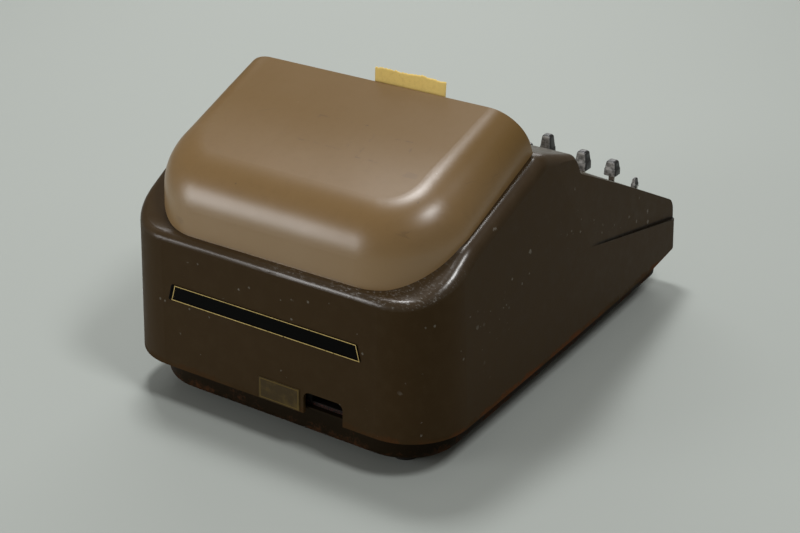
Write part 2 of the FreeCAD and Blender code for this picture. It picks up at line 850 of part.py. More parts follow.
shared_holes = [(y, z, size("tie_radius")) for y, z in tie_places]
shared_holes += [(y, z, size("rail_radius")) for y, z in rail_places]
shared_holes += [
    (main.y, main.z, size("main_shaft_radius")),
    (size("roll_y"), size("roll_z"), size("spindle_radius")),
    (size("wheel_y"), size("wheel_z"), size("rail_radius")),
    (pinch.y, pinch.z, size("pinch_shaft")),
]
drive_holes = [
    (idle.y, idle.z, size("idle_shaft_radius")),
    (motor.y, motor.z, size("motor_shaft_radius")),
]
node("left_side_frame", side_frame("left_side_frame", -frame_x - frame_sheet, shared_holes))
node("right_side_frame", side_frame("right_side_frame", frame_x, shared_holes + drive_holes))

rod_end = frame_x + frame_sheet + 6
node("tie_rods", group("tie_rods", [
    rod("tie_rod_%d" % i, (-rod_end, y, z), 2 * rod_end, 4, Radius="sizes.tie_radius")
    for i, (y, z) in enumerate(tie_places)]))
nuts = []
for number, (y, z) in enumerate(tie_places):
    for start in (-frame_x - frame_sheet - 4, frame_x + frame_sheet):
        hexagon = doc.addObject("Part::Prism", "nut_%d_%d" % (number, start > 0))
        hexagon.Polygon = 6
        hexagon.Circumradius = 7.5
        hexagon.Height = 4
        hexagon.Placement = FreeCAD.Placement(V(start, y, z), ALONG_X)
        bore = rod(hexagon.Name + "_bore", (start - 1, y, z), 6, size("tie_radius") + fit)
        nuts.append(cut(hexagon.Name + "_bored", hexagon, [bore]))
node("tie_rod_nuts", group("tie_rod_nuts", nuts))

# Keyboard: a plate under the casing slope, a guide plate below it and posts between
key_slope = (size("step_foot_z") - size("nose_z")) / (size("step_foot_y") - nose_y)
key_angle = math.degrees(math.atan(key_slope))
key_cos, key_sin = math.cos(math.radians(key_angle)), math.sin(math.radians(key_angle))
key_normal = V(0, -key_sin, key_cos)
key_turn = FreeCAD.Rotation(ACROSS, key_angle)


def key_z(y):
    return size("step_foot_z") + (y - size("step_foot_y")) * key_slope


def slope_point(x, y, depth):
    # a place at a depth square below the keyboard slope
    return V(x, y, key_z(y)) - key_normal * depth


plate_sheet = size("plate_sheet")
plate_front = size("well_front") - size("plate_margin")
plate_run = (size("well_rear") + size("plate_margin") - plate_front) / key_cos
plate_depth = wall + plate_sheet
guide_depth = plate_depth + size("guide_drop")
digit, cap_high, pitch = size("digit_cap"), size("digit_height"), size("digit_pitch")
rows = [size("digit_y") - i * pitch for i in range(4)]
columns = [size("digit_x") + i * pitch for i in range(3)]
left_side, front_edge, side_cap = -size("well_half"), size("well_front"), size("side_cap")
side_x_key = left_side + size("side_key_in")
# label, x, y, width, depth and height of each cap
KEYS = [("key_%d" % (7 - 3 * i + j), columns[j], rows[i], digit, digit, cap_high)
        for i in range(3) for j in range(3)]
KEYS.append(("key_0", columns[1], rows[3], size("zero_width"), digit, cap_high))
KEYS.append(("non_add_key", left_side + size("non_add_in"), size("non_add_y"), side_cap, side_cap,
             size("non_add_height")))
KEYS.append(("repeat_key", side_x_key, size("repeat_y"), side_cap, side_cap, size("repeat_height")))
KEYS.append(("correction_key", side_x_key, front_edge + size("correction_up"), side_cap, side_cap,
             size("correction_height")))
KEYS.append(("repeat_latch", left_side + size("latch_in"), front_edge + size("latch_up"),
             size("latch_width"), size("latch_depth"), size("latch_height")))
for label, y in zip(("total_key", "subtotal_key", "subtract_key"), rows):
    KEYS.append((label, size("control_x"), y, digit, digit, cap_high))
KEYS.append(("add_bar", size("add_x"), size("add_y"), size("add_width"), size("add_depth"), cap_high))
stem_half, stem_thick = size("stem_width") / 2, size("stem_sheet") / 2


def key_gap(depth):
    # a deep cap stands higher, so that its upper edge clears the slope when pressed
    return size("key_gap") + max(0, depth - size("digit_cap")) / 2 * key_slope


def inclined_plate(name, depth, half):
    plate = doc.addObject("Part::Box", name + "_blank")
    plate.Length, plate.Width, plate.Height = 2 * half, plate_run, plate_sheet
    bind(plate, Height="sizes.plate_sheet")
    plate.Placement = FreeCAD.Placement(slope_point(-half, plate_front, depth), key_turn)
    tools = []
    play = 0.2
    for label, x, y, width, deep, height in KEYS:
        tools.append(box(name + "_slot_" + label, (x - stem_half - play, y - stem_thick - play, 20),
                         (x + stem_half + play, y + stem_thick + play, 200)))
    return cut(name, plate, tools)


plate_half = size("well_half") + size("plate_margin") - 1
node("keyboard_plate", inclined_plate("keyboard_plate", plate_depth, plate_half))
node("key_guide_plate", inclined_plate("key_guide_plate", guide_depth, plate_half - 3))
post_high, post_x = size("guide_drop") - plate_sheet, 66
posts = []
for side in (-1, 1):
    for y in (size("well_rear") - 9, size("well_front") + 8):
        foot = slope_point(side * post_x, y, guide_depth - plate_sheet)
        posts.append(rod("guide_post_%d" % len(posts), tuple(foot), post_high, 3.5, key_turn,
                         Height="sizes.guide_drop - sizes.plate_sheet"))
node("guide_posts", group("guide_posts", posts))


# Keys: a flared skirt, a tapered crown with a rounded top, and a flat stem
def key(label, x, y, width, deep, height):
    low = key_z(y) + key_gap(deep)
    skirt_high = height * 0.45
    corner = min(width, deep) / 6
    skirt_taper = 4
    crown_taper = math.degrees(math.atan(0.5 * corner / (height - skirt_high)))

    def ring(shrink):
        a, b = width / 2 - shrink, deep / 2 - shrink
        return loop_geometry([(-a, -b, corner), (a, -b, corner), (a, b, corner), (-a, b, corner)])

    skirt = extrusion(label + "_skirt", ring(0), stand(x, y, low), UP, skirt_high, -skirt_taper)
    shrink = skirt_high * slope(skirt_taper)
    crown = extrusion(label + "_crown", ring(shrink), stand(x, y, low + skirt_high), UP,
                      height - skirt_high, -crown_taper)
    top = low + height
    crown = rounded(label + "_dome", crown, lambda p: 0.4 * corner, lambda p: abs(p.z - top) < 1e-6)
    foot = key_z(y) - (guide_depth + plate_sheet) / key_cos - size("key_travel")
    stem = box(label + "_stem", (x - stem_half, y - stem_thick, foot),
               (x + stem_half, y + stem_thick, low + 2))
    return fuse(label, [skirt, crown, stem])


for entry in KEYS:
    node(entry[0], key(*entry))


# Plates on the back, on the drafted wall
def back_wall(z):
    return half_length - (z - case_bottom) * slope(size("case_draft"))


back_turn = FreeCAD.Rotation(ACROSS, size("case_draft"))
name_z = case_bottom + size("name_low")
name_turn = back_turn * FreeCAD.Rotation(V(0, 1, 1), 180)
name_place = FreeCAD.Placement(V(size("name_x"), back_wall(name_z), name_z), name_turn)
name_half, name_high, name_corner = size("name_width") / 2, size("name_height"), 0.8
name_top = name_half - size("name_slant")
name_loop = [(-name_half, 0, name_corner), (name_half, 0, name_corner),
             (name_top, name_high, name_corner), (-name_top, name_high, name_corner)]
outward = name_turn.multVec(UP)
name_blank = extrusion("name_blank", loop_geometry(name_loop), name_place, outward, size("name_sheet"),
                       LengthFwd="sizes.name_sheet")
field_base = name_place.multVec(UP * (size("name_sheet") - size("name_sink")))
name_field = extrusion("name_field", loop_geometry(shift_loop(name_loop, size("name_edge"))),
                       FreeCAD.Placement(field_base, name_turn), outward, 2)
node("name_plate", cut("name_plate", name_blank, [name_field]))
rating = box("rating_plate", (0, 0, 0), (size("rating_width"), size("rating_sheet"), size("rating_height")))
bind(rating, Length="sizes.rating_width", Width="sizes.rating_sheet", Height="sizes.rating_height")
rating_z = case_bottom + 0.6
rating.Placement = FreeCAD.Placement(V(size("rating_x"), back_wall(rating_z), rating_z), back_turn)
node("rating_plate", rating)

# Power inlet: a moulded block behind the notch, with two round pins
inlet_x, inlet_face = size("inlet_x"), half_length - size("inlet_set_back")
inlet_half, mouth_half = size("inlet_width") / 2, size("mouth_width") / 2
inlet_back = inlet_face - size("inlet_depth")
block = box("inlet_block", (inlet_x - inlet_half, inlet_back, pan_top),
            (inlet_x + inlet_half, inlet_face, pan_top + size("inlet_height")))
mouth_low = pan_top + size("mouth_floor")
mouth_high = mouth_low + size("mouth_height")
mouth = box("inlet_mouth", (inlet_x - mouth_half, inlet_face - size("mouth_depth"), mouth_low),
            (inlet_x + mouth_half, inlet_face + 1, mouth_high))
pin_places = [inlet_x - size("pin_pitch") / 2, inlet_x + size("pin_pitch") / 2]
pin_z, pin_start = (mouth_low + mouth_high) / 2, inlet_back + 0.5
REARWARD = FreeCAD.Rotation(ACROSS, -90)
pin_holes = [rod("pin_hole_%d" % i, (x, inlet_back - 1, pin_z), 10, size("pin_radius") + fit, REARWARD)
             for i, x in enumerate(pin_places)]
node("power_inlet", cut("power_inlet", block, [mouth] + pin_holes))
inlet_pins = [rod("inlet_pin_%d" % i, (x, pin_start, pin_z), size("pin_length"), 2, REARWARD,
                  Radius="sizes.pin_radius", Height="sizes.pin_length") for i, x in enumerate(pin_places)]
node("inlet_pins", group("inlet_pins", inlet_pins))

# Paper: roll on a fixed spindle with collars, guide, platen, pinch rollers and tape
tape_low = size("tape_x") - size("tape_width") / 2
roll_y, roll_z, roll_radius = size("roll_y"), size("roll_z"), size("roll_radius")
roll = rod("roll_blank", (tape_low, roll_y, roll_z), size("tape_width"), 30, Radius="sizes.roll_radius",
           Height="sizes.tape_width")
roll_play = 0.4
roll_bore = rod("roll_bore", (tape_low - 1, roll_y, roll_z), size("tape_width") + 2,
                size("spindle_radius") + roll_play)
node("paper_roll", cut("paper_roll", roll, [roll_bore]))
shaft_end = frame_x + frame_sheet + 2
spindle = rod("spindle_rod", (-shaft_end, roll_y, roll_z), 2 * shaft_end, 4,
              Radius="sizes.spindle_radius")
collar_width, collar_radius = 4, 9
collar_places = (tape_low - roll_play - collar_width, tape_low + size("tape_width") + roll_play)
collars = [rod("roll_collar_%d" % i, (x, roll_y, roll_z), collar_width, collar_radius)
           for i, x in enumerate(collar_places)]
node("roll_spindle", fuse("roll_spindle", [spindle] + collars))

platen_y, platen_z, platen_radius = size("platen_y"), size("platen_z"), size("platen_radius")
platen_low = size("tape_x") - size("platen_length") / 2
arm_gap, arm_sheet = 1.5, 2
sleeve = rod("platen_sleeve", (platen_low, platen_y, platen_z), 70, 14, Radius="sizes.platen_radius",
             Height="sizes.platen_length")
sleeve_bore = rod("platen_bore", (platen_low - 1, platen_y, platen_z), size("platen_length") + 2,
                  size("platen_shaft"))
node("platen", cut("platen", sleeve, [sleeve_bore]))
platen_reach = arm_gap + arm_sheet + 2
node("platen_shaft", rod("platen_shaft", (platen_low - platen_reach, platen_y, platen_z),
                         size("platen_length") + 2 * platen_reach, 4, Radius="sizes.platen_shaft"))

# The tape runs from under the roll, round the front of the platen and up in front of the hood
tape_off = 0.35
tape_sheet = size("tape_sheet")


def tangent_angle(y1, z1, r1, y2, z2, r2):
    # direction, in degrees, of the radius to the lower outer tangent of two circles
    away = math.atan2(z2 - z1, y2 - y1)
    return math.degrees(away + math.acos((r1 - r2) / math.hypot(y2 - y1, z2 - z1)))


wrap_low = tangent_angle(roll_y, roll_z, roll_radius, platen_y, platen_z, platen_radius)
exit_y, exit_z = size("hood_top_y") - 1.2, size("hood_top_z") - 9
tape_top = size("hood_top_z") + size("tape_above")
to_exit = math.hypot(exit_y - platen_y, exit_z - platen_z)
exit_angle = math.atan2(exit_z - platen_z, exit_y - platen_y)
wrap_high = math.degrees(exit_angle + math.acos(platen_radius / to_exit))


def on_circle(y, z, radius, angle):
    return V(y + radius * math.cos(math.radians(angle)), z + radius * math.sin(math.radians(angle)), 0)


def tape_face(offset):
    # one face of the tape, from the roll to its free end
    r = platen_radius + offset
    start = on_circle(roll_y, roll_z, roll_radius + offset, wrap_low)
    on, off = on_circle(platen_y, platen_z, r, wrap_low), on_circle(platen_y, platen_z, r, wrap_high)
    middle = on_circle(platen_y, platen_z, r, (wrap_low + wrap_high) / 2)
    bend = V(exit_y - offset, exit_z, 0)
    end = V(exit_y - offset, tape_top, 0)
    return start, on, middle, off, bend, end


near_face, far_face = tape_face(tape_off), tape_face(tape_off + tape_sheet)
tape_outline = []
for start, on, middle, off, bend, end in (near_face, far_face):
    tape_outline += [Part.LineSegment(start, on), Part.Arc(on, middle, off), Part.LineSegment(off, bend),
                     Part.LineSegment(bend, end)]
for end in (0, -1):
    tape_outline.append(Part.LineSegment(near_face[end], far_face[end]))
node("paper_tape", extrusion("paper_tape", tape_outline, side_on(tape_low), ACROSS, size("tape_width"),
                             LengthFwd="sizes.tape_width"))

# Sheet guide that carries the tape, fixed between the frames, with the platen arms on it
run = (far_face[1] - far_face[0]).normalize()
below = V(run.y, -run.x, 0) if run.x > 0 else V(-run.y, run.x, 0)
guide_sheet = 1.5
guide_a = far_face[0] + run * 8
guide_b = far_face[1] - run * 10
guide_loop = [guide_a, guide_b, guide_b + below * guide_sheet, guide_a + below * guide_sheet]
node("paper_guide", extrusion("paper_guide", loop_geometry([(p.x, p.y, 0) for p in guide_loop]),
                              side_on(-frame_x), ACROSS, 2 * frame_x, LengthFwd="2 * sizes.frame_x"))
arm_rear = guide_a + run * 14 / abs(run.x)
arm_loop = [(guide_b.x, guide_b.y, 0), (platen_y - 8, platen_z - 4, 4), (platen_y - 8, platen_z + 9, 5),
            (platen_y + 9, platen_z + 9, 5), (arm_rear.x, arm_rear.y, 0)]
arms = []
for number, x in enumerate((platen_low - arm_gap - arm_sheet, platen_low + size("platen_length") + arm_gap)):
    arm = extrusion("platen_arm_blank_%d" % number, loop_geometry(arm_loop), side_on(x), ACROSS, arm_sheet)
    hole = rod("platen_arm_hole_%d" % number, (x - 1, platen_y, platen_z), arm_sheet + 2,
               size("platen_shaft") + fit)
    arms.append(cut("platen_arm_%d" % number, arm, [hole]))
node("platen_arms", group("platen_arms", arms))
pinch_parts = [rod("pinch_shaft", (-shaft_end, pinch.y, pinch.z), 2 * shaft_end, 2,
                   Radius="sizes.pinch_shaft")]
for number, way in enumerate((-1, 1)):
    x = size("tape_x") + way * size("pinch_spread") - size("pinch_length") / 2
    pinch_parts.append(rod("pinch_roller_%d" % number, (x, pinch.y, pinch.z), 12, 5,
                           Radius="sizes.pinch_radius", Height="sizes.pinch_length"))
node("pinch_rollers", fuse("pinch_rollers", pinch_parts))

# Ribbon: two spools on shelf posts, and the ribbon passed in front of the platen
spool_y, shelf_z, spool_radius = size("spool_y"), size("shelf_z"), size("spool_radius")
guide_y = platen_y - platen_radius - 3
pack_radius = spool_radius - 4
flange = size("spool_flange")
spool_low = shelf_z + 0.4
spool_high = spool_low + size("spool_height")
post_top = spool_high + 2
platen_high = platen_low + size("platen_length")
spool_places = {"left": -frame_x + spool_radius + 1.5, "right": platen_high + spool_radius + 8}
shelf_spans = {"left": (-frame_x, platen_low - 7), "right": (platen_high + 7, frame_x)}
guide_pin_x = {"left": platen_low - 9, "right": platen_high + 9}
guide_pin_y = guide_y + size("ribbon_pin") + 0.9


def spool_disc(name, x, low, high):
    return upright_rod(name, x, spool_y, low, high, spool_radius, Radius="sizes.spool_radius")


shelves = []
for side, x in spool_places.items():
    low_x, high_x = shelf_spans[side]
    plate = box("shelf_plate_" + side, (low_x, guide_y - 4, shelf_z - 2), (high_x, spool_y + 18, shelf_z))
    post = upright_rod("shelf_post_" + side, x, spool_y, shelf_z - 1, post_top, 3, Radius="sizes.rail_radius")
    pin = upright_rod("ribbon_pin_" + side, guide_pin_x[side], guide_pin_y, shelf_z - 1, post_top, 1,
                      Radius="sizes.ribbon_pin")
    shelves.append(fuse("ribbon_shelf_" + side, [plate, post, pin]))
    pack = upright_rod("spool_pack_" + side, x, spool_y, spool_low, spool_high, pack_radius)
    discs = [spool_disc("spool_bottom_" + side, x, spool_low, spool_low + flange),
             spool_disc("spool_lid_" + side, x, spool_high - flange, spool_high)]
    bore = upright_rod("spool_bore_" + side, x, spool_y, shelf_z, spool_high + 1, size("rail_radius") + fit)
    spool = cut("spool_" + side, fuse("spool_blank_" + side, discs + [pack]), [bore])
    node("ribbon_spool_" + side, spool)
node("ribbon_shelves", group("ribbon_shelves", shelves))


def ribbon_tangent(side):
    # where the ribbon leaves the spool pack on the side away from the platen
    out = -1 if side == "left" else 1
    corner = V(guide_pin_x[side] + out * 0.6, guide_y, 0)
    centre = V(spool_places[side], spool_y, 0)
    away = corner - centre
    turn = math.acos((pack_radius + 0.4) / away.Length)
    angle = math.atan2(away.y, away.x) - out * turn * -1
    return centre + V(math.cos(angle), math.sin(angle), 0) * (pack_radius + 0.4), corner


def ribbon_line(offset):
    left_start, left_corner = ribbon_tangent("left")
    right_start, right_corner = ribbon_tangent("right")
    back = V(0, offset, 0)
    return [left_start + back, left_corner + back, right_corner + back, right_start + back]


ribbon_face = ribbon_line(-size("ribbon_sheet")) + list(reversed(ribbon_line(0)))
ribbon_low = spool_low + flange + 0.4
node("ribbon", extrusion("ribbon", loop_geometry([(p.x, p.y, 0) for p in ribbon_face]),
                         stand(0, 0, ribbon_low), UP, spool_high - flange - 0.4 - ribbon_low))

# Type bars in two slotted guides, each bar with a row of type faces
bar_half, bar_depth, bar_y = size("bar_sheet") / 2, size("bar_depth"), size("bar_y")
bar_low, bar_top, bar_back = size("bar_low"), size("bar_top"), size("bar_y") + size("bar_depth")
bar_count = int(size("bar_count"))
bar_places = [size("tape_x") + (i - (bar_count - 1) / 2) * size("bar_pitch") for i in range(bar_count)]
bars = []
for number, x in enumerate(bar_places):
    pieces = [box("bar_blank_%d" % number, (x - bar_half, bar_y, bar_low), (x + bar_half, bar_back, bar_top))]
    for row in range(int(size("type_count"))):
        face_top = bar_top - 0.2 - row * size("type_pitch")
        low = (x - bar_half, bar_back, face_top - size("type_height"))
        high = (x + bar_half, bar_back + size("type_rise"), face_top)
        pieces.append(box("type_%d_%d" % (number, row), low, high))
    bars.append(fuse("type_bar_%d" % number, pieces))
node("type_bars", group("type_bars", bars))
guides = []
guide_high, play = 2.5, size("bar_play")
for number, z in enumerate((bar_low + 26, bar_low + 44)):
    top = z + guide_high
    plate = box("bar_guide_blank_%d" % number, (-frame_x, bar_y - 6, z), (frame_x, bar_back + 6, top))
    slots = [box("bar_slot_%d_%d" % (number, i), (x - bar_half - play, bar_y - play, z - 1),
                 (x + bar_half + play, bar_back + play, top + 1)) for i, x in enumerate(bar_places)]
    guides.append(cut("bar_guide_%d" % number, plate, slots))
node("type_bar_guides", group("type_bar_guides", guides))

# Number wheels of the adding register, out of mesh with the bars at rest
wheel_y, wheel_z, wheel_radius = size("wheel_y"), size("wheel_z"), size("wheel_radius")
wheel_notch, wheel_steps = 2, 40
wheels = []
for number, x in enumerate(bar_places):
    star = []
    for step in range(wheel_steps):
        radius = wheel_radius if step % 4 in (0, 1) else wheel_radius - wheel_notch
        corner = on_circle(wheel_y, wheel_z, radius, step * 360 / wheel_steps)
        star.append((corner.x, corner.y, 0))
    wheels.append(extrusion("number_wheel_%d" % number, loop_geometry(star), side_on(x - bar_half), ACROSS, 2,
                            LengthFwd="sizes.bar_sheet"))
wheel_shaft = rod("number_wheel_shaft", (-shaft_end, wheel_y, wheel_z), 2 * shaft_end, 3,
                  Radius="sizes.rail_radius")
node("number_wheels", fuse("number_wheels", wheels + [wheel_shaft]))

# Pin carriage on two rails under the deck
node("carriage_rails", group("carriage_rails", [
    rod("carriage_rail_%d" % i, (-shaft_end, y, z), 2 * shaft_end, 3, Radius="sizes.rail_radius")
    for i, (y, z) in enumerate(rail_places)]))
carriage_low, edge = size("carriage_x"), size("carriage_edge")
carriage_high = carriage_low + size("carriage_length")
rail_y, rail_z = rail_places[0]
carriage_blank = box("carriage_blank", (carriage_low, rail_y - edge, rail_z - edge),
                     (carriage_high, rail_places[1][0] + edge, rail_z + edge))
rail_bores = [rod("rail_bore_%d" % i, (carriage_low - 1, y, z), size("carriage_length") + 2,
                  size("rail_radius") + fit) for i, (y, z) in enumerate(rail_places)]
stop_width, stop_low = size("stop_width"), rail_z + edge - 1
stops = []
for column in range(bar_count):
    for row in range(10):
        x = carriage_low + edge + column * size("stop_pitch")
        y = rail_y - size("rail_radius") - 0.4 + row * size("stop_row")
        stops.append(box("stop_pin_%d_%d" % (column, row), (x, y, stop_low),
                         (x + stop_width, y + stop_width, stop_low + 1 + size("stop_rise"))))
carriage_body = cut("carriage_body", carriage_blank, rail_bores)
node("pin_carriage", fuse("pin_carriage", [carriage_body] + stops))

# Main shaft with three cams
main_radius = size("main_shaft_radius")
main_length = shaft_end + frame_x + frame_sheet + 3 * size("gear_width")
node("main_shaft", rod("main_shaft", (-shaft_end, main.y, main.z), main_length, 5,
                       Radius="sizes.main_shaft_radius"))
cams = []
for number in range(3):
    x = size("cam_x") + number * size("cam_pitch")
    eccentric = from_axis(main, size("cam_throw"), 120 * number)
    disc = rod("cam_disc_%d" % number, (x, eccentric.y, eccentric.z), 5, 15, Radius="sizes.cam_radius",
               Height="sizes.cam_width")
    bore = rod("cam_bore_%d" % number, (x - 1, main.y, main.z), size("cam_width") + 2, main_radius)
    cams.append(cut("cam_%d" % number, disc, [bore]))
node("drive_cams", group("drive_cams", cams))


# Gears: a rimmed disc and one involute tooth, repeated by a polar pattern
def gear(label, teeth_alias, low_x, axis, bore_radius, phase):
    module, teeth = size("tooth_module"), int(size(teeth_alias))
    pitch = module * teeth / 2
    base, tip, root = pitch * math.cos(math.radians(20)), pitch + 0.8 * module, pitch - 1.1 * module
    backlash = 0.3

    def half_angle(r):
        def involute(a):
            return math.tan(a) - a
        lean = involute(math.acos(min(1, base / r)))
        return math.pi / 2 / teeth - backlash / 2 / pitch + involute(math.radians(20)) - lean

    def at(r, side):
        a = side * half_angle(max(r, base))
        return V(r * math.cos(a), r * math.sin(a), 0)

    radii = [root - 0.6, max(root, base), pitch, tip]
    flank = [at(r, -1) for r in radii]
    other = [at(r, 1) for r in reversed(radii)]
    body = doc.addObject("PartDesign::Body", label + "_body")
    plane = [o for o in body.Origin.OriginFeatures if o.Role == "YZ_Plane"][0]

    def sketch_on(name, geometry):
        sketch = body.newObject("Sketcher::SketchObject", name)
        sketch.AttachmentSupport = [(plane, "")]
        sketch.MapMode = "FlatFace"
        sketch.addGeometry(geometry, False)
        pad = body.newObject("PartDesign::Pad", name + "_pad")
        pad.Profile = sketch
        pad.Length = size("gear_width")
        bind(pad, Length="sizes.gear_width")
        return sketch, pad

    disc, disc_pad = sketch_on(label + "_disc", [Part.Circle(V(0, 0, 0), UP, root),
                                                 Part.Circle(V(0, 0, 0), UP, bore_radius)])
    doc.recompute()
    tooth, tooth_pad = sketch_on(label + "_tooth", loop_geometry([(p.x, p.y, 0) for p in flank + other]))
    doc.recompute()
    ring = body.newObject("PartDesign::PolarPattern", label + "_ring")
    ring.Originals = [tooth_pad]
    ring.Axis = (disc, ["N_Axis"])
    ring.Angle = 360
    bind(ring, Occurrences="sizes." + teeth_alias)
    body.Tip = ring
    body.Placement = FreeCAD.Placement(V(low_x, axis.y, axis.z), FreeCAD.Rotation(ACROSS, phase))
    return body


first_x = frame_x + frame_sheet + 2
second_x = first_x + size("gear_width") + 1
idle_teeth, main_teeth = size("idle_teeth"), size("main_teeth")
node("idle_gear", gear("idle_gear", "idle_teeth", first_x, idle, size("idle_shaft_radius"),
                       idle_angle + 180 + 180 / idle_teeth))
seat_step = 0.5
idle_pinion = gear("idle_pinion", "pinion_teeth", second_x, idle, size("idle_shaft_radius") - seat_step,
                   main_angle)
stub_start = frame_x - 4
idle_stub = rod("idle_stub", (stub_start, idle.y, idle.z), second_x + size("gear_width") + 2 - stub_start, 4,
                Radius="sizes.idle_shaft_radius")
node("idle_pinion", fuse("idle_pinion_on_shaft", [idle_pinion, idle_stub]))
main_phase = main_angle + 180 + 180 / main_teeth
node("main_gear", gear("main_gear", "main_teeth", second_x, main, main_radius, main_phase))

# Motor: a turned housing on the right frame, with the rotor and its pinion
motor_low, motor_radius, shaft_radius = size("motor_x"), size("motor_radius"), size("motor_shaft_radius")
motor_step, motor_cap = size("motor_step"), size("motor_cap")
shoulder, neck = frame_x - size("motor_shoulder"), frame_x - size("motor_neck")
rotor_radius = motor_radius - 9


def turned(name, steps):
    # a stack of discs along the motor axis: (start, end, radius)
    discs = []
    for number, (start, end, radius) in enumerate(steps):
        discs.append(rod("%s_%d" % (name, number), (start, motor.y, motor.z), end - start, radius))
    return fuse(name, discs)


housing = turned("motor_solid", [
    (motor_low, motor_low + motor_cap, motor_radius - motor_step),
    (motor_low + motor_cap, shoulder, motor_radius),
    (shoulder, neck, motor_radius - motor_step),
    (neck, frame_x, motor_radius - 2 * motor_step),
])
hollow = turned("motor_hollow", [
    (motor_low + motor_cap - 2, shoulder + motor_step, rotor_radius + 0.5),
    (motor_low - 1, frame_x + 1, shaft_radius + fit),
])
node("motor_housing", cut("motor_housing", housing, [hollow]))
rotor = turned("rotor_core", [
    (motor_low + motor_cap + 2, shoulder - 4, rotor_radius),
    (shoulder - 4, shoulder + 4, 9),
    (motor_low + 1, first_x + size("gear_width") + 2, shaft_radius),
])
rotor_pinion = gear("motor_pinion", "pinion_teeth", first_x, motor, shaft_radius - seat_step, idle_angle)
node("motor_rotor", fuse("motor_rotor", [rotor, rotor_pinion]))

# Tear blade under the front edge of the hood, with a saw edge
blade_place = FreeCAD.Placement(V(0, 0, 0), FreeCAD.Rotation(ACROSS, -size("hood_slope")))
blade_y = hood_front_y(size("hood_top_z") - size("hood_wall")) + 1.2
blade_place.Base = V(size("tape_x"), blade_y, hood_z(blade_y, size("hood_wall")))
blade_half = size("tape_width") / 2 + 3
saw_count = 16
saw = []
for step in range(saw_count + 1):
    x = -blade_half + step * 2 * blade_half / saw_count
    saw.append((x, 1.4, 0))
    if step < saw_count:
        saw.append((x + blade_half / saw_count, 0, 0))
saw += [(blade_half, 12, 0), (-blade_half, 12, 0)]
blade_sheet = 0.8
node("tear_blade", extrusion("tear_blade", loop_geometry(saw), blade_place,
                             blade_place.Rotation.multVec(V(0, 0, -1)), blade_sheet))
node("hood", hood_shell)

doc.recompute()

# Nothing is written unless every object is sound
broken = [thing.Name for thing in doc.Objects if "Invalid" in thing.State or "Error" in thing.State]
fillets = [thing for thing in doc.Objects if thing.TypeId == "Part::Fillet"]
broken += [thing.Label for thing in nodes + fillets if thing.Shape.isNull() or not thing.Shape.isValid()]
if broken:
    raise RuntimeError("broken objects: " + ", ".join(broken))
os.makedirs("parts", exist_ok=True)
for thing in nodes:
    thing.Shape.exportStep("parts/%s.step" % thing.Label)
print(len(nodes), "pieces written")
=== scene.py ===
"""Looks of the adding machine: finishes for every CAD node, a torn tape, moulded keys and a studio."""

import json
import math

import bmesh
import bpy
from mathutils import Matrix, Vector, noise


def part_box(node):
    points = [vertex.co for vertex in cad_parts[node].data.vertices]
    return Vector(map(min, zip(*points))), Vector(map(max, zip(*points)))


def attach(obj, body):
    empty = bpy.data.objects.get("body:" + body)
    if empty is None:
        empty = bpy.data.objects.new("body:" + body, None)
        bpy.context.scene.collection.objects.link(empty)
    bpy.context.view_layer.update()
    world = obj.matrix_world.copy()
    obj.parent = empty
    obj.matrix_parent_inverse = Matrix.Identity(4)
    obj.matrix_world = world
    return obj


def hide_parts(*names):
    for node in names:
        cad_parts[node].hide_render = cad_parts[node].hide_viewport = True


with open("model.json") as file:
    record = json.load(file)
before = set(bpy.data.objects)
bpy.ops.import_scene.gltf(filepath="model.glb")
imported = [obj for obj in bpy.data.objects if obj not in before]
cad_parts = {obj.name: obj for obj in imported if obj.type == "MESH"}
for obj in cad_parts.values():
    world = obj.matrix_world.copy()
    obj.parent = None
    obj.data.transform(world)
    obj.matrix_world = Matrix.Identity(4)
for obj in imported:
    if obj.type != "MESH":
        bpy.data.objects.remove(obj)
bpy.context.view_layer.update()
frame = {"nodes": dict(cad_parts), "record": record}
MM = 0.001


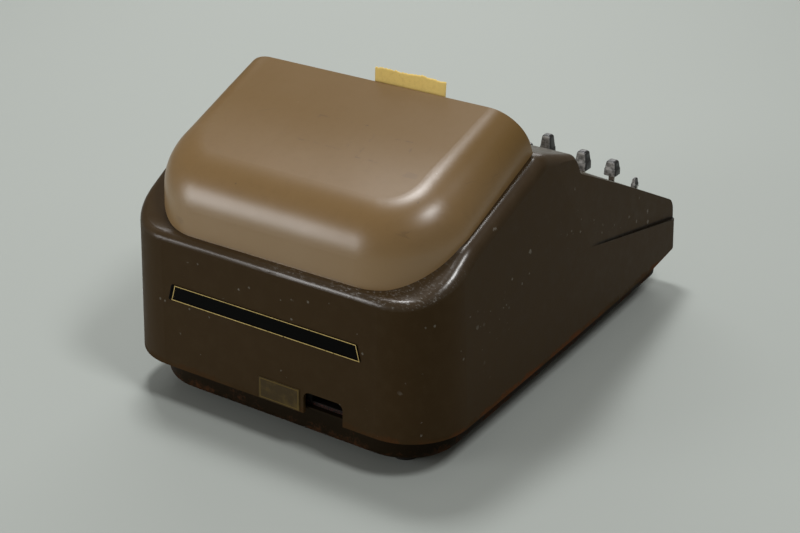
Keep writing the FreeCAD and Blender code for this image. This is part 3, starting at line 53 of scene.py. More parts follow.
# ---------------------------------------------------------------- laying nodes
class Bench:
    """Lays shader nodes in one tree, one step of a finish to a line."""

    def __init__(self, tree):
        self.tree = tree

    def add(self, kind, inputs=None, **settings):
        """Lays a node. Each input is a socket to link or a plain value."""
        laid = self.tree.nodes.new(kind)
        for name, value in settings.items():
            setattr(laid, name, value)
        for key, value in (inputs or {}).items():
            if isinstance(value, bpy.types.NodeSocket):
                self.tree.links.new(value, laid.inputs[key])
            else:
                laid.inputs[key].default_value = value
        return laid

    def maths(self, work, a, b=0.0, clamp=False):
        return self.add("ShaderNodeMath", {0: a, 1: b}, operation=work, use_clamp=clamp).outputs[0]

    def plus(self, a, b, clamp=False):
        return self.maths("ADD", a, b, clamp)

    def minus(self, a, b):
        return self.maths("SUBTRACT", a, b)

    def most(self, a, b):
        return self.maths("MAXIMUM", a, b)

    def least(self, a, b):
        return self.maths("MINIMUM", a, b)

    def size(self, a):
        return self.maths("ABSOLUTE", a)

    def product(self, *values):
        total = values[0]
        for value in values[1:]:
            total = self.maths("MULTIPLY", total, value)
        return total

    def span(self, value, low, high, start=0.0, end=1.0):
        """Eases from start to end while the value goes from low to high."""
        inputs = {"Value": value, "From Min": low, "From Max": high, "To Min": start, "To Max": end}
        return self.add("ShaderNodeMapRange", inputs, interpolation_type="SMOOTHSTEP").outputs["Result"]

    def span_line(self, value, start, end):
        """Height of a straight line over a value, from its two (value, height) ends."""
        (low, first), (high, last) = start, end
        inputs = {"Value": value, "From Min": low, "From Max": high, "To Min": first, "To Max": last}
        return self.add("ShaderNodeMapRange", inputs, clamp=False).outputs["Result"]

    def mix(self, share, a, b):
        return self.add("ShaderNodeMix", {0: share, 6: a, 7: b}, data_type="RGBA").outputs[2]

    def noise(self, place, scale, detail=3.0, rough=0.55):
        inputs = {"Vector": place, "Scale": scale, "Detail": detail, "Roughness": rough}
        return self.add("ShaderNodeTexNoise", inputs).outputs[0]

    def stretch(self, place, scale):
        return self.add("ShaderNodeMapping", {"Vector": place, "Scale": scale}).outputs[0]

    def axes(self, place):
        return self.add("ShaderNodeSeparateXYZ", {"Vector": place}).outputs

    def vector(self, work, *values):
        return self.add("ShaderNodeVectorMath", dict(enumerate(values)), operation=work).outputs

    def put(self, effect, **inputs):
        return self.add("ShaderNodeGroup", inputs, node_tree=effect).outputs


class Effect(Bench):
    """A shader node group with named inputs and outputs."""

    def __init__(self, name, outputs, **inputs):
        super().__init__(bpy.data.node_groups.new(name, "ShaderNodeTree"))
        face = self.tree.interface
        face.new_socket("Place", in_out="INPUT", socket_type="NodeSocketVector")
        for label, value in inputs.items():
            socket = face.new_socket(label, in_out="INPUT", socket_type="NodeSocketFloat")
            socket.default_value = value
        for label in outputs:
            face.new_socket(label, in_out="OUTPUT", socket_type="NodeSocketFloat")
        self.given = self.tree.nodes.new("NodeGroupInput").outputs
        self.place = self.given["Place"]
        self.result = self.tree.nodes.new("NodeGroupOutput").inputs

    def give(self, label, value):
        self.tree.links.new(value, self.result[label])


class Finish(Bench):
    """A material: its plain values sit on the shader, the rest is laid in front of it."""

    def __init__(self, name, **plain):
        self.made = bpy.data.materials.new(name)
        self.made.use_nodes = True
        super().__init__(self.made.node_tree)
        self.shader = self.tree.nodes["Principled BSDF"]
        for label, value in plain.items():
            self.shader.inputs[label.replace("_", " ")].default_value = value
        self.place = self.add("ShaderNodeTexCoord").outputs["Object"]
        self.x, self.y, self.z = self.axes(self.place)
        self.normal = self.add("ShaderNodeNewGeometry").outputs["Normal"]

    def feed(self, label, value):
        self.tree.links.new(value, self.shader.inputs[label])

    def bump(self, height, strength, distance=0.2 * MM):
        inputs = {"Height": height, "Strength": strength, "Distance": distance}
        self.feed("Normal", self.add("ShaderNodeBump", inputs).outputs[0])

    def grain(self, count, soft):
        return self.put(GRAIN, Place=self.place, Count=count, Soft=soft)["Height"]

    def aged(self, reach):
        return self.put(PATCHES, Place=self.place, Reach=reach)

    def chips(self, count, share, size):
        return self.put(CHIPS, Place=self.place, Count=count, Share=share, Size=size)["Chip"]


# ---------------------------------------------------------------- shared effects
def chips_effect():
    """Small ragged spots where the paint has flaked off."""
    e = Effect("paint_chips", ["Chip"], Count=60.0, Share=0.3, Size=0.2)
    count = e.given["Count"]
    cells = e.add("ShaderNodeTexVoronoi", {"Vector": e.place, "Scale": count}).outputs
    draw = e.add("ShaderNodeSeparateColor", {"Color": cells["Color"]}).outputs
    bend = e.noise(e.place, e.product(count, 2.2), 3.0, 0.7)
    ragged = e.noise(e.place, e.product(count, 7.0), 4.0, 0.75)
    push = e.plus(e.product(e.minus(ragged, 0.5), 0.5), e.product(e.minus(bend, 0.5), 0.5))
    reach = e.plus(cells["Distance"], push)
    radius = e.product(e.given["Size"], e.span(draw[1], 0.0, 1.0, 0.2, 1.0))
    spot = e.maths("MULTIPLY", e.minus(radius, reach), 16.0, clamp=True)
    e.give("Chip", e.product(spot, e.maths("LESS_THAN", draw[0], e.given["Share"])))
    return e.tree


def rust_effect():
    """Rust that creeps up from a low edge, broken by noise, and its mottling."""
    e = Effect("rust_creep", ["Rust", "Mottle"], Low=0.03, High=0.05, Amount=0.5)
    near = e.span(e.axes(e.place)[2], e.given["High"], e.given["Low"])
    coarse, fine = e.noise(e.place, 45.0, 5.0, 0.65), e.noise(e.place, 420.0, 4.0, 0.7)
    both = e.plus(e.product(coarse, 0.65), e.product(fine, 0.35))
    edge = e.minus(1.0, e.product(near, e.given["Amount"]))
    e.give("Rust", e.product(near, e.maths("MULTIPLY", e.minus(both, edge), 9.0, clamp=True)))
    e.give("Mottle", fine)
    return e.tree


def patch_effect():
    """Slow and middling clouds of tone, as handling and age leave on paint."""
    e = Effect("age_patches", ["Patch", "Mottle"], Reach=9.0)
    e.give("Patch", e.noise(e.place, e.given["Reach"], 3.0, 0.5))
    e.give("Mottle", e.noise(e.place, e.product(e.given["Reach"], 14.0), 5.0, 0.65))
    return e.tree


def grain_effect():
    """Fine skin of sprayed enamel or moulded plastic, as a height."""
    e = Effect("fine_grain", ["Height"], Count=900.0, Soft=260.0)
    skin = e.noise(e.place, e.given["Count"], 2.0, 0.5)
    swell = e.noise(e.place, e.given["Soft"], 2.0, 0.5)
    e.give("Height", e.plus(e.product(skin, 0.4), e.product(swell, 0.6)))
    return e.tree


def scratch_effect():
    """Thin broken lines, from the contours of drawn-out noise."""
    e = Effect("hair_scratches", ["Scratch"], Count=14.0, Width=0.004)
    field = e.noise(e.stretch(e.place, (1.0, 3.2, 2.2)), e.given["Count"], 1.0, 0.4)
    line = e.maths("LESS_THAN", e.size(e.minus(field, 0.5)), e.given["Width"])
    broken = e.span(e.noise(e.place, 38.0, 2.0), 0.56, 0.66)
    e.give("Scratch", e.product(line, broken))
    return e.tree


def brushed_effect():
    """Drawn lines of rolled or turned metal, along X, and spots of tarnish."""
    e = Effect("drawn_lines", ["Line", "Tarnish"], Count=600.0)
    e.give("Line", e.noise(e.stretch(e.place, (0.03, 1.0, 1.0)), e.given["Count"], 3.0, 0.6))
    e.give("Tarnish", e.span(e.noise(e.place, 55.0, 5.0, 0.6), 0.42, 0.7))
    return e.tree


CHIPS, RUST, PATCHES = chips_effect(), rust_effect(), patch_effect()
GRAIN, SCRATCHES, BRUSHED = grain_effect(), scratch_effect(), brushed_effect()


# ---------------------------------------------------------------- colours, dark before pale
CASING_BROWNS = (0.036, 0.0205, 0.0072, 1), (0.046, 0.0270, 0.0105, 1)
CASING_MOTTLE = (0.058, 0.038, 0.018, 1)
CASING_RUSTS = (0.042, 0.014, 0.0045, 1), (0.150, 0.050, 0.015, 1)
CASING_BARE = (0.10, 0.085, 0.065, 1), (0.30, 0.28, 0.24, 1)
# pale greys of the rim's scuffs, partly a painted highlight for its sheen
RIM_SCUFFS_AND_SHEEN = (0.10, 0.09, 0.08, 1), (0.40, 0.38, 0.35, 1)
# painted shade for the step along the keyboard's sides
STEP_PAINTED_SHADE = (0.006, 0.004, 0.002, 1)
HOOD_TANS = (0.200, 0.117, 0.042, 1), (0.245, 0.148, 0.058, 1)
HOOD_MOTTLE = (0.180, 0.104, 0.036, 1)
# painted shade for the hood's top and painted light for its foot
HOOD_PAINTED_SHADE, HOOD_PAINTED_LIGHT = (0.150, 0.087, 0.026, 1), (0.30, 0.188, 0.082, 1)
HOOD_STAIN, HOOD_SPECK = (0.09, 0.052, 0.026, 1), (0.075, 0.042, 0.022, 1)
HOOD_PALE_SPECK, HOOD_LOW_EDGE_DARK = (0.42, 0.36, 0.28, 1), (0.05, 0.024, 0.011, 1)
PAN_BLACKS = (0.009, 0.0055, 0.0022, 1), (0.017, 0.0105, 0.0045, 1)
PAN_RUSTS = (0.028, 0.011, 0.005, 1), (0.10, 0.042, 0.018, 1)
KEY_BLACKS = (0.012, 0.012, 0.012, 1), (0.035, 0.034, 0.032, 1)
ADD_BLACKS = (0.014, 0.013, 0.012, 1), (0.04, 0.036, 0.032, 1)
# painted reflection for the keys' faces turned to the back
KEY_PAINTED_SHEEN = (0.62, 0.61, 0.59, 1)
KEY_INKS = (0.50, 0.47, 0.38, 1), (0.72, 0.69, 0.60, 1)
PLATE_BLACKS = (0.0008, 0.0008, 0.0008, 1), (0.002, 0.0018, 0.0015, 1)
PLATE_GOLDS = (0.50, 0.32, 0.08, 1), (0.95, 0.74, 0.33, 1)
LACQUERS, RUBBED_BRASS = ((0.024, 0.0135, 0.002, 1), (0.060, 0.036, 0.006, 1)), (0.30, 0.20, 0.05, 1)
INLET_BLACKS = (0.003, 0.003, 0.003, 1), (0.009, 0.007, 0.006, 1)
INLET_FIBRES = (0.03, 0.007, 0.005, 1), (0.14, 0.04, 0.028, 1)
PAPER_YELLOWS = (0.86, 0.60, 0.17, 1), (0.93, 0.71, 0.25, 1)
PAPER_STAIN, PAPER_EDGE = (0.60, 0.40, 0.11, 1), (0.30, 0.21, 0.09, 1)
RIBBON_INKS, RIBBON_DRY = ((0.008, 0.006, 0.012, 1), (0.03, 0.024, 0.04, 1)), (0.06, 0.05, 0.075, 1)
MOTOR_GREYS, MOTOR_BARE = ((0.03, 0.032, 0.033, 1), (0.075, 0.08, 0.08, 1)), (0.35, 0.34, 0.32, 1)
FOOT_BLACKS = (0.008, 0.008, 0.008, 1), (0.03, 0.028, 0.025, 1)
PLATEN_BLACKS = (0.012, 0.012, 0.012, 1), (0.04, 0.04, 0.038, 1)
STEELS = (0.27, 0.25, 0.22, 1), (0.62, 0.61, 0.58, 1)
FRAME_STEELS = (0.22, 0.20, 0.17, 1), (0.46, 0.46, 0.43, 1)
BRASSES = (0.33, 0.21, 0.07, 1), (0.78, 0.58, 0.26, 1)
FLOOR_GREYS = (0.43, 0.46, 0.435, 1), (0.46, 0.49, 0.465, 1)
SKY = (1.0, 0.96, 0.88, 1)

# ---------------------------------------------------------------- finishes
NEAR_SIDE_X = -0.085, -0.115
# ends of the step along the keyboard's sides, as (y, z)
STEP_REAR, STEP_FRONT = (-30 * MM, 94.3 * MM), (-184 * MM, 58 * MM)
# stains on the hood's top: middle x and y, half width, half length
STAINS = (-0.001, 0.104, 0.019, 0.013), (-0.047, 0.108, 0.016, 0.012)


def flaked_spots(f):
    """Spots on the casing bare of paint: thicker round the near corner and in a low row."""
    near_corner = f.product(f.span(f.x, *NEAR_SIDE_X), f.span(f.y, 0.10, 0.15))
    low_row = f.product(f.span(f.z, 0.062, 0.054), f.span(f.z, 0.040, 0.046), f.span(f.y, -0.02, 0.04))
    clumped = f.span(f.noise(f.place, 30.0, 3.0, 0.6), 0.55, 0.68)
    thick = f.product(f.chips(150.0, 0.5, 0.26), clumped, f.most(near_corner, low_row))
    spread = f.most(f.chips(85.0, 0.11, 0.15), f.chips(230.0, 0.09, 0.22))
    return f.product(f.most(spread, thick), 0.6)


def step_grime(f):
    """Painted shade in the step along the keyboard's sides."""
    step = f.minus(f.z, f.span_line(f.y, STEP_REAR, STEP_FRONT))
    step_shade_band = f.product(f.span(step, -0.6 * MM, 0.0), f.span(step, 2.6 * MM, 0.8 * MM))
    return f.product(step_shade_band, f.span(f.y, -0.026, -0.05), f.span(f.size(f.x), 0.108, 0.114), 0.85)


def casing_paint():
    """Brown enamel: rust on the near lower edge, flaked spots, a scuffed rim partly painted as a highlight,
    and painted shade in the side step.
    """
    f = Finish("casing_paint", Specular_IOR_Level=0.06, Coat_Roughness=0.26, Coat_IOR=1.6)
    age = f.aged(8.0)
    tone = f.mix(age["Patch"], *CASING_BROWNS)
    tone = f.mix(f.span(age["Mottle"], 0.4, 0.75, 0.0, 0.3), tone, CASING_MOTTLE)
    rust = f.put(RUST, Place=f.place, Low=0.030, High=0.046, Amount=0.66)
    patchy = f.span(f.noise(f.place, 22.0, 3.0, 0.6), 0.4, 0.58)
    near_side = f.product(f.span(f.x, *NEAR_SIDE_X, 0.2, 1.0), patchy)
    tone = f.mix(f.product(rust["Rust"], near_side, 0.8), tone, f.mix(rust["Mottle"], *CASING_RUSTS))
    bare = flaked_spots(f)
    tone = f.mix(bare, tone, f.mix(age["Mottle"], *CASING_BARE))
    # the rim behind the hood, scuffed to a silvery grey; the pale grey is partly real wear and partly a
    # painted highlight for the rim's sheen
    rise = f.axes(f.normal)[2]
    rear = f.product(f.span(f.y, 0.12, 0.165), f.span(f.z, 0.112, 0.125), f.span(f.x, 0.03, -0.06))
    rim = f.product(f.span(rise, 0.1, 0.45), rear)
    drawn = f.noise(f.stretch(f.place, (0.5, 1.0, 1.0)), 700.0, 4.0, 0.7)
    scuff_and_sheen = f.product(rim, f.span(drawn, 0.54, 0.66), f.span(f.noise(f.place, 34.0, 3.0, 0.6), 0.42, 0.58))
    tone = f.mix(f.product(scuff_and_sheen, 0.55), tone, f.mix(drawn, *RIM_SCUFFS_AND_SHEEN))
    # painted shade: a near-black line along the step on the keyboard's sides
    f.feed("Base Color", f.mix(step_grime(f), tone, STEP_PAINTED_SHADE))
    rub = f.span(age["Mottle"], 0.2, 0.8, 0.42, 0.56)
    f.feed("Roughness", f.plus(rub, f.product(rust["Rust"], 0.3), clamp=True))
    handled = f.plus(f.product(f.span(rise, 0.1, 0.6), 0.6), f.product(rim, 0.9), clamp=True)
    f.feed("Coat Weight", f.product(handled, f.span(rust["Rust"], 0.6, 0.0)))
    height = f.minus(f.product(f.grain(1100.0, 320.0), 0.3), f.product(f.most(bare, scuff_and_sheen), 0.8))
    f.bump(f.plus(height, f.product(rust["Rust"], rust["Mottle"])), 0.3)
    return f.made


def stain_outline(f, x, y, half_x, half_y):
    """A thin wavering rectangular line on the hood's top, about one middle point."""
    sway = f.product(f.minus(f.noise(f.place, 60.0, 2.0), 0.5), 0.25)
    across = f.maths("DIVIDE", f.size(f.minus(f.x, x)), half_x)
    along = f.maths("DIVIDE", f.size(f.minus(f.y, y)), half_y)
    edge = f.plus(f.most(across, along), sway)
    return f.product(f.span(edge, 0.9, 0.97), f.span(edge, 1.05, 1.0))


def hood_paint():
    """Tan enamel with stain outlines, hair scratches, specks, a darker lowest edge, painted shade at the top
    and painted light at the foot.
    """
    f = Finish("hood_paint", Specular_IOR_Level=0.06, Coat_Roughness=0.34, Coat_IOR=1.7)
    age = f.aged(11.0)
    tan = f.mix(age["Patch"], *HOOD_TANS)
    tan = f.mix(f.span(age["Mottle"], 0.4, 0.8, 0.0, 0.35), tan, HOOD_MOTTLE)
    # painted shade darkens the top and painted light pales the foot, fitted to how bright each is in the
    # photo
    tan = f.mix(f.span(f.z, 0.165, 0.208, 0.0, 0.75), tan, HOOD_PAINTED_SHADE)
    tan = f.mix(f.span(f.z, 0.172, 0.145, 0.0, 0.7), tan, HOOD_PAINTED_LIGHT)
    stain = f.most(*[stain_outline(f, *place) for place in STAINS])
    broken = f.span(f.noise(f.place, 95.0, 4.0, 0.7), 0.5, 0.66)
    line = f.put(SCRATCHES, Place=f.place, Count=13.0, Width=0.003)["Scratch"]
    dark = f.most(f.product(stain, broken, 0.45), f.product(line, 0.22))
    tan = f.mix(dark, tan, HOOD_STAIN)
    tan = f.mix(f.product(f.chips(140.0, 0.06, 0.11), 0.6), tan, HOOD_SPECK)
    spread = f.stretch(f.place, (1.3, 1.3, 1.3))
    pale = f.put(CHIPS, Place=spread, Count=75.0, Share=0.035, Size=0.1)["Chip"]
    tan = f.mix(f.product(pale, 0.55), tan, HOOD_PALE_SPECK)
    # darker along the hood's lowest edge
    low_edge = f.minus(1.0, f.span(f.z, 0.1295, 0.1335))
    low_edge_dark = f.product(low_edge, f.span(age["Mottle"], 0.28, 0.6))
    f.feed("Base Color", f.mix(f.product(low_edge_dark, 0.5), tan, HOOD_LOW_EDGE_DARK))
    f.feed("Roughness", f.span(age["Mottle"], 0.2, 0.8, 0.4, 0.54))
    dulled = f.span(f.z, 0.18, 0.205, 1.0, 0.3)
    f.feed("Coat Weight", f.product(f.span(age["Patch"], 0.3, 0.7, 0.75, 0.95), dulled))
    f.bump(f.minus(f.product(f.grain(800.0, 190.0), 0.4), f.product(dark, 0.5)), 0.2)
    return f.made


def pan_paint():
    """Near-black paint, rusting from its lower edge."""
    f = Finish("pan_paint", Specular_IOR_Level=0.05)
    age = f.aged(14.0)
    dark = f.mix(age["Patch"], *PAN_BLACKS)
    rust = f.put(RUST, Place=f.place, Low=0.008, High=0.05, Amount=0.54)
    f.feed("Base Color", f.mix(f.product(rust["Rust"], 0.8), dark, f.mix(rust["Mottle"], *PAN_RUSTS)))
    f.feed("Roughness", f.span(rust["Rust"], 0.0, 1.0, 0.5, 0.9))
    f.bump(f.plus(f.grain(700.0, 150.0), f.product(rust["Rust"], rust["Mottle"], 2.0)), 0.4)
    return f.made


def rubber(name, tones, rough):
    f = Finish(name, Specular_IOR_Level=0.35)
    age = f.aged(40.0)
    f.feed("Base Color", f.mix(age["Mottle"], *tones))
    f.feed("Roughness", f.span(age["Patch"], 0.3, 0.7, rough, rough + 0.2))
    f.bump(f.grain(1500.0, 500.0), 0.4)
    return f.made


def metal(name, tones, rough, lines):
    """Drawn metal with spots of tarnish; tones are its dull and its bright one."""
    f = Finish(name, Metallic=1.0)
    drawn = f.put(BRUSHED, Place=f.place, Count=lines)
    tone = f.mix(f.span(drawn["Line"], 0.3, 0.7), *tones)
    f.feed("Base Color", f.mix(f.product(drawn["Tarnish"], 0.55), tone, tones[0]))
    wiped = f.plus(f.product(drawn["Line"], 0.22), f.product(drawn["Tarnish"], 0.2))
    f.feed("Roughness", f.plus(wiped, rough, clamp=True))
    f.bump(drawn["Line"], 0.12, 0.1 * MM)
    return f.made


def moulded(name, tones, rough, coat, painted_sheen=0.0):
    """Moulded plastic with hair scratches and, where asked, a pale painted reflection on the faces to the
    back.
    """
    f = Finish(name, Coat_Roughness=0.08, Coat_Weight=coat, IOR=1.5)
    age = f.aged(70.0)
    line = f.put(SCRATCHES, Place=f.place, Count=60.0, Width=0.006)["Scratch"]
    colour = f.mix(f.most(f.product(age["Patch"], 0.5), line), *tones)
    # painted reflection: pale colour on the faces turned to the back stands for their glossy sheen
    if painted_sheen:
        turned = f.axes(f.normal)
        faces = f.span(f.plus(turned[1], f.product(turned[2], 0.1)), 0.62, 0.9)
        patchy = f.span(f.noise(f.place, 320.0, 3.0, 0.6), 0.36, 0.62, 0.35, 1.0)
        colour = f.mix(f.product(faces, patchy, painted_sheen), colour, KEY_PAINTED_SHEEN)
    f.feed("Base Color", colour)
    f.feed("Roughness", f.span(age["Mottle"], 0.25, 0.75, rough, rough + 0.16))
    f.bump(f.grain(1300.0, 420.0), 0.12)
    return f.made


def plate_black():
    """Black with a thin gilt line inside its edge, and a wider black margin at one end."""
    f = Finish("plate_black", Specular_IOR_Level=0.04)
    low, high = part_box("name_plate")
    lean = f.span_line(f.z, (low.z, 0.0), (high.z, 3.2 * MM))
    near_end = f.minus(f.minus(f.x, low.x), lean)
    far_end = f.minus(f.minus(high.x - 2.3 * MM, f.x), lean)
    edges = f.least(f.minus(f.z, low.z), f.minus(high.z, f.z))
    inset = f.least(edges, f.least(near_end, far_end))
    line = f.product(f.span(inset, 0.1 * MM, 0.2 * MM), f.span(inset, 0.75 * MM, 0.6 * MM))
    gilt = f.product(line, f.span(f.axes(f.normal)[1], 0.8, 0.95))
    age = f.aged(60.0)
    worn = f.product(gilt, f.span(age["Mottle"], 0.30, 0.44))
    f.feed("Base Color", f.mix(worn, f.mix(age["Mottle"], *PLATE_BLACKS), f.mix(age["Mottle"], *PLATE_GOLDS)))
    f.feed("Metallic", f.product(worn, 0.7))
    f.feed("Roughness", f.span(age["Mottle"], 0.2, 0.8, 0.25, 0.42))
    f.bump(f.grain(1200.0, 300.0), 0.1)
    return f.made


def plate_brass():
    """Dark lacquered brass, brighter where the lacquer has rubbed along a thin edge line."""
    f = Finish("plate_brass", Coat_Roughness=0.3, Coat_Weight=0.08, Specular_IOR_Level=0.2)
    low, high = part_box("rating_plate")
    middle, half = (low + high) / 2, (high - low) / 2
    across = f.minus(half.x, f.size(f.minus(f.x, middle.x)))
    along = f.minus(half.z, f.size(f.minus(f.z, middle.z)))
    inset = f.least(across, along)
    line = f.product(f.span(inset, 0.7 * MM, 0.9 * MM), f.span(inset, 1.5 * MM, 1.3 * MM))
    age = f.aged(80.0)
    rubbed = f.most(f.product(line, 0.6), f.span(age["Patch"], 0.5, 0.75, 0.0, 0.35))
    f.feed("Base Color", f.mix(f.product(rubbed, 0.6), f.mix(age["Mottle"], *LACQUERS), RUBBED_BRASS))
    f.feed("Metallic", f.span(rubbed, 0.0, 0.6, 0.1, 0.6))
    f.feed("Roughness", f.span(age["Mottle"], 0.2, 0.8, 0.36, 0.6))
    f.bump(f.plus(age["Mottle"], f.product(line, 1.5)), 0.18)
    return f.made


def inlet_plastic():
    """Dark moulded block with a reddish fibre lip along its lower edge."""
    f = Finish("inlet_plastic", Specular_IOR_Level=0.25)
    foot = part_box("power_inlet")[0].z
    age = f.aged(120.0)
    lip = f.product(f.span(f.z, foot + 3.2 * MM, foot + 1.6 * MM), f.span(age["Mottle"], 0.5, 0.6))
    f.feed("Base Color", f.mix(lip, f.mix(age["Patch"], *INLET_BLACKS), f.mix(age["Mottle"], *INLET_FIBRES)))
    f.feed("Roughness", f.span(age["Mottle"], 0.2, 0.8, 0.42, 0.65))
    f.bump(f.grain(1200.0, 400.0), 0.3)
    return f.made


def paper(name, wound=False):
    """Yellowed paper; a wound roll also shows its layers on the end faces."""
    f = Finish(name, Roughness=0.86, Specular_IOR_Level=0.2)
    age = f.aged(26.0)
    height = f.noise(f.stretch(f.place, (0.5, 1.0, 1.0)), 1600.0, 3.0, 0.6)
    sheet = f.mix(age["Patch"], *PAPER_YELLOWS)
    sheet = f.mix(f.span(age["Mottle"], 0.45, 0.8, 0.0, 0.35), sheet, PAPER_STAIN)
    if wound:
        low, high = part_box("paper_roll")
        away = f.vector("SUBTRACT", f.place, (low + high) / 2)[0]
        flat = f.vector("MULTIPLY", away, (0, 1, 1))[0]
        radius = f.vector("LENGTH", flat)["Value"]
        turn = f.maths("SINE", f.plus(f.product(radius, 9000.0), f.product(age["Mottle"], 5.0)))
        end_face = f.span(f.size(f.axes(f.normal)[0]), 0.6, 0.8)
        layers = f.product(end_face, f.span(turn, -1.0, 1.0))
        sheet = f.mix(f.product(layers, 0.45), sheet, PAPER_EDGE)
        height = f.plus(height, f.product(layers, 2.0))
    f.feed("Base Color", sheet)
    f.bump(height, 0.3, 0.08 * MM)
    return f.made


def ribbon_cloth():
    """Inked woven ribbon with crossed threads."""
    f = Finish("ribbon_cloth", Sheen_Weight=0.3, Sheen_Roughness=0.5)
    warp = f.maths("SINE", f.product(f.plus(f.x, f.y), 9000.0))
    weft = f.maths("SINE", f.product(f.z, 9000.0))
    weave = f.span(f.product(warp, weft), -1.0, 1.0)
    age = f.aged(60.0)
    f.feed("Base Color", f.mix(f.product(weave, 0.4), f.mix(age["Patch"], *RIBBON_INKS), RIBBON_DRY))
    f.feed("Roughness", f.span(age["Mottle"], 0.2, 0.8, 0.6, 0.85))
    f.bump(weave, 0.4, 0.06 * MM)
    return f.made


def motor_paint():
    f = Finish("motor_paint")
    age = f.aged(22.0)
    f.feed("Base Color", f.mix(f.chips(110.0, 0.12, 0.2), f.mix(age["Mottle"], *MOTOR_GREYS), MOTOR_BARE))
    f.feed("Roughness", f.span(age["Patch"], 0.3, 0.7, 0.38, 0.6))
    f.bump(f.grain(600.0, 180.0), 0.5)
    return f.made


def key_ink():
    f = Finish("key_ink")
    age = f.aged(160.0)
    f.feed("Base Color", f.mix(age["Mottle"], *KEY_INKS))
    f.feed("Roughness", f.span(age["Patch"], 0.3, 0.7, 0.4, 0.6))
    return f.made


FINISHES = {
    "casing_paint": casing_paint(),
    "hood_paint": hood_paint(),
    "pan_paint": pan_paint(),
    "rubber": rubber("rubber", FOOT_BLACKS, 0.62),
    "steel": metal("steel", STEELS, 0.14, 700.0),
    "frame_steel": metal("frame_steel", FRAME_STEELS, 0.3, 350.0),
    "key_plastic": moulded("key_plastic", KEY_BLACKS, 0.16, 0.6),
    "add_plastic": moulded("add_plastic", ADD_BLACKS, 0.2, 0.5),
    "plate_black": plate_black(),
    "plate_brass": plate_brass(),
    "inlet_plastic": inlet_plastic(),
    "brass": metal("brass", BRASSES, 0.16, 500.0),
    "paper": paper("paper"),
    "platen_rubber": rubber("platen_rubber", PLATEN_BLACKS, 0.45),
    "ribbon_cloth": ribbon_cloth(),
    "motor_paint": motor_paint(),
}
WOUND_PAPER = paper("wound_paper", wound=True)
# key plastic with a painted reflection on the faces to the back
SHEENED_KEYS = moulded("painted_sheen_plastic", KEY_BLACKS, 0.3, 0.25, painted_sheen=0.8)
INK = key_ink()


def dress_nodes():
    for entry in frame["record"]["subparts"]:
        finish = WOUND_PAPER if entry["node"] == "paper_roll" else FINISHES[entry["material_slot"]]
        mesh = frame["nodes"][entry["node"]].data
        mesh.materials.clear()
        mesh.materials.append(finish)


# ---------------------------------------------------------------- new pieces
def piece(name, mesh, body, slot, *stands_for):
    """Puts a mesh in the scene as a piece that rides on a body and may stand for CAD nodes."""
    made = bpy.data.objects.new(name, mesh)
    bpy.context.scene.collection.objects.link(made)
    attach(made, body)
    if stands_for:
        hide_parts(*stands_for)
    return made


def smooth_mesh(name, made, angle):
    """Turns a bmesh into a mesh, smooth but for edges sharper than an angle in degrees."""
    mesh = bpy.data.meshes.new(name)
    made.to_mesh(mesh)
    made.free()
    mesh.shade_smooth()
    mesh.set_sharp_from_angle(angle=math.radians(angle))
    return mesh


HOOD_EDGE_Y = 50 * MM
PAPER_CLEAR = 0.5 * MM
PLATEN_TURNS, TAPE_ACROSS, TAPE_RISE = 24, 96, 14
TEAR_DROP, TEAR_TEETH, TEAR_CURL = 2.0, 22, -1.1 * MM
TAPE_THICKNESS = 0.2 * MM


def round_axle(name):
    """Middle in Y and Z, and radius, of a round node that turns about X."""
    low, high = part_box(name)
    return (low.y + high.y) / 2, (low.z + high.z) / 2, (high.z - low.z) / 2


def tape_path():
    """Middle line of the tape as (y, z), from the roll round the platen to the hood's edge."""
    roll_y, roll_z, roll_r = round_axle("paper_roll")
    platen_y, platen_z, platen_r = round_axle("platen")
    roll_r, platen_r = roll_r + PAPER_CLEAR, platen_r + PAPER_CLEAR
    apart = math.hypot(platen_y - roll_y, platen_z - roll_z)
    away = math.atan2(platen_z - roll_z, platen_y - roll_y)
    wrap_low = away + math.acos((roll_r - platen_r) / apart)
    exit_y, exit_z = HOOD_EDGE_Y - 1.7 * MM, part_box("hood")[1].z - 9 * MM
    reach = math.hypot(exit_y - platen_y, exit_z - platen_z)
    wrap_high = math.atan2(exit_z - platen_z, exit_y - platen_y) + math.acos(platen_r / reach)
    path = [(roll_y + roll_r * math.cos(wrap_low), roll_z + roll_r * math.sin(wrap_low))]
    for step in range(PLATEN_TURNS + 1):
        angle = wrap_low + (wrap_high - wrap_low) * step / PLATEN_TURNS
        path.append((platen_y + platen_r * math.cos(angle), platen_z + platen_r * math.sin(angle)))
    path.append((exit_y, exit_z))
    return path


def tear_depth(share, x):
    """How far below the CAD sheet's end the torn edge lies."""
    wave = noise.noise(Vector((x * 70, 3.1, 0))) * 0.7 + noise.noise(Vector((x * 520, 7.7, 0))) * 0.8
    teeth = abs(((share * TEAR_TEETH) % 1.0) - 0.5) * 0.8
    return (TEAR_DROP + wave + teeth) * MM


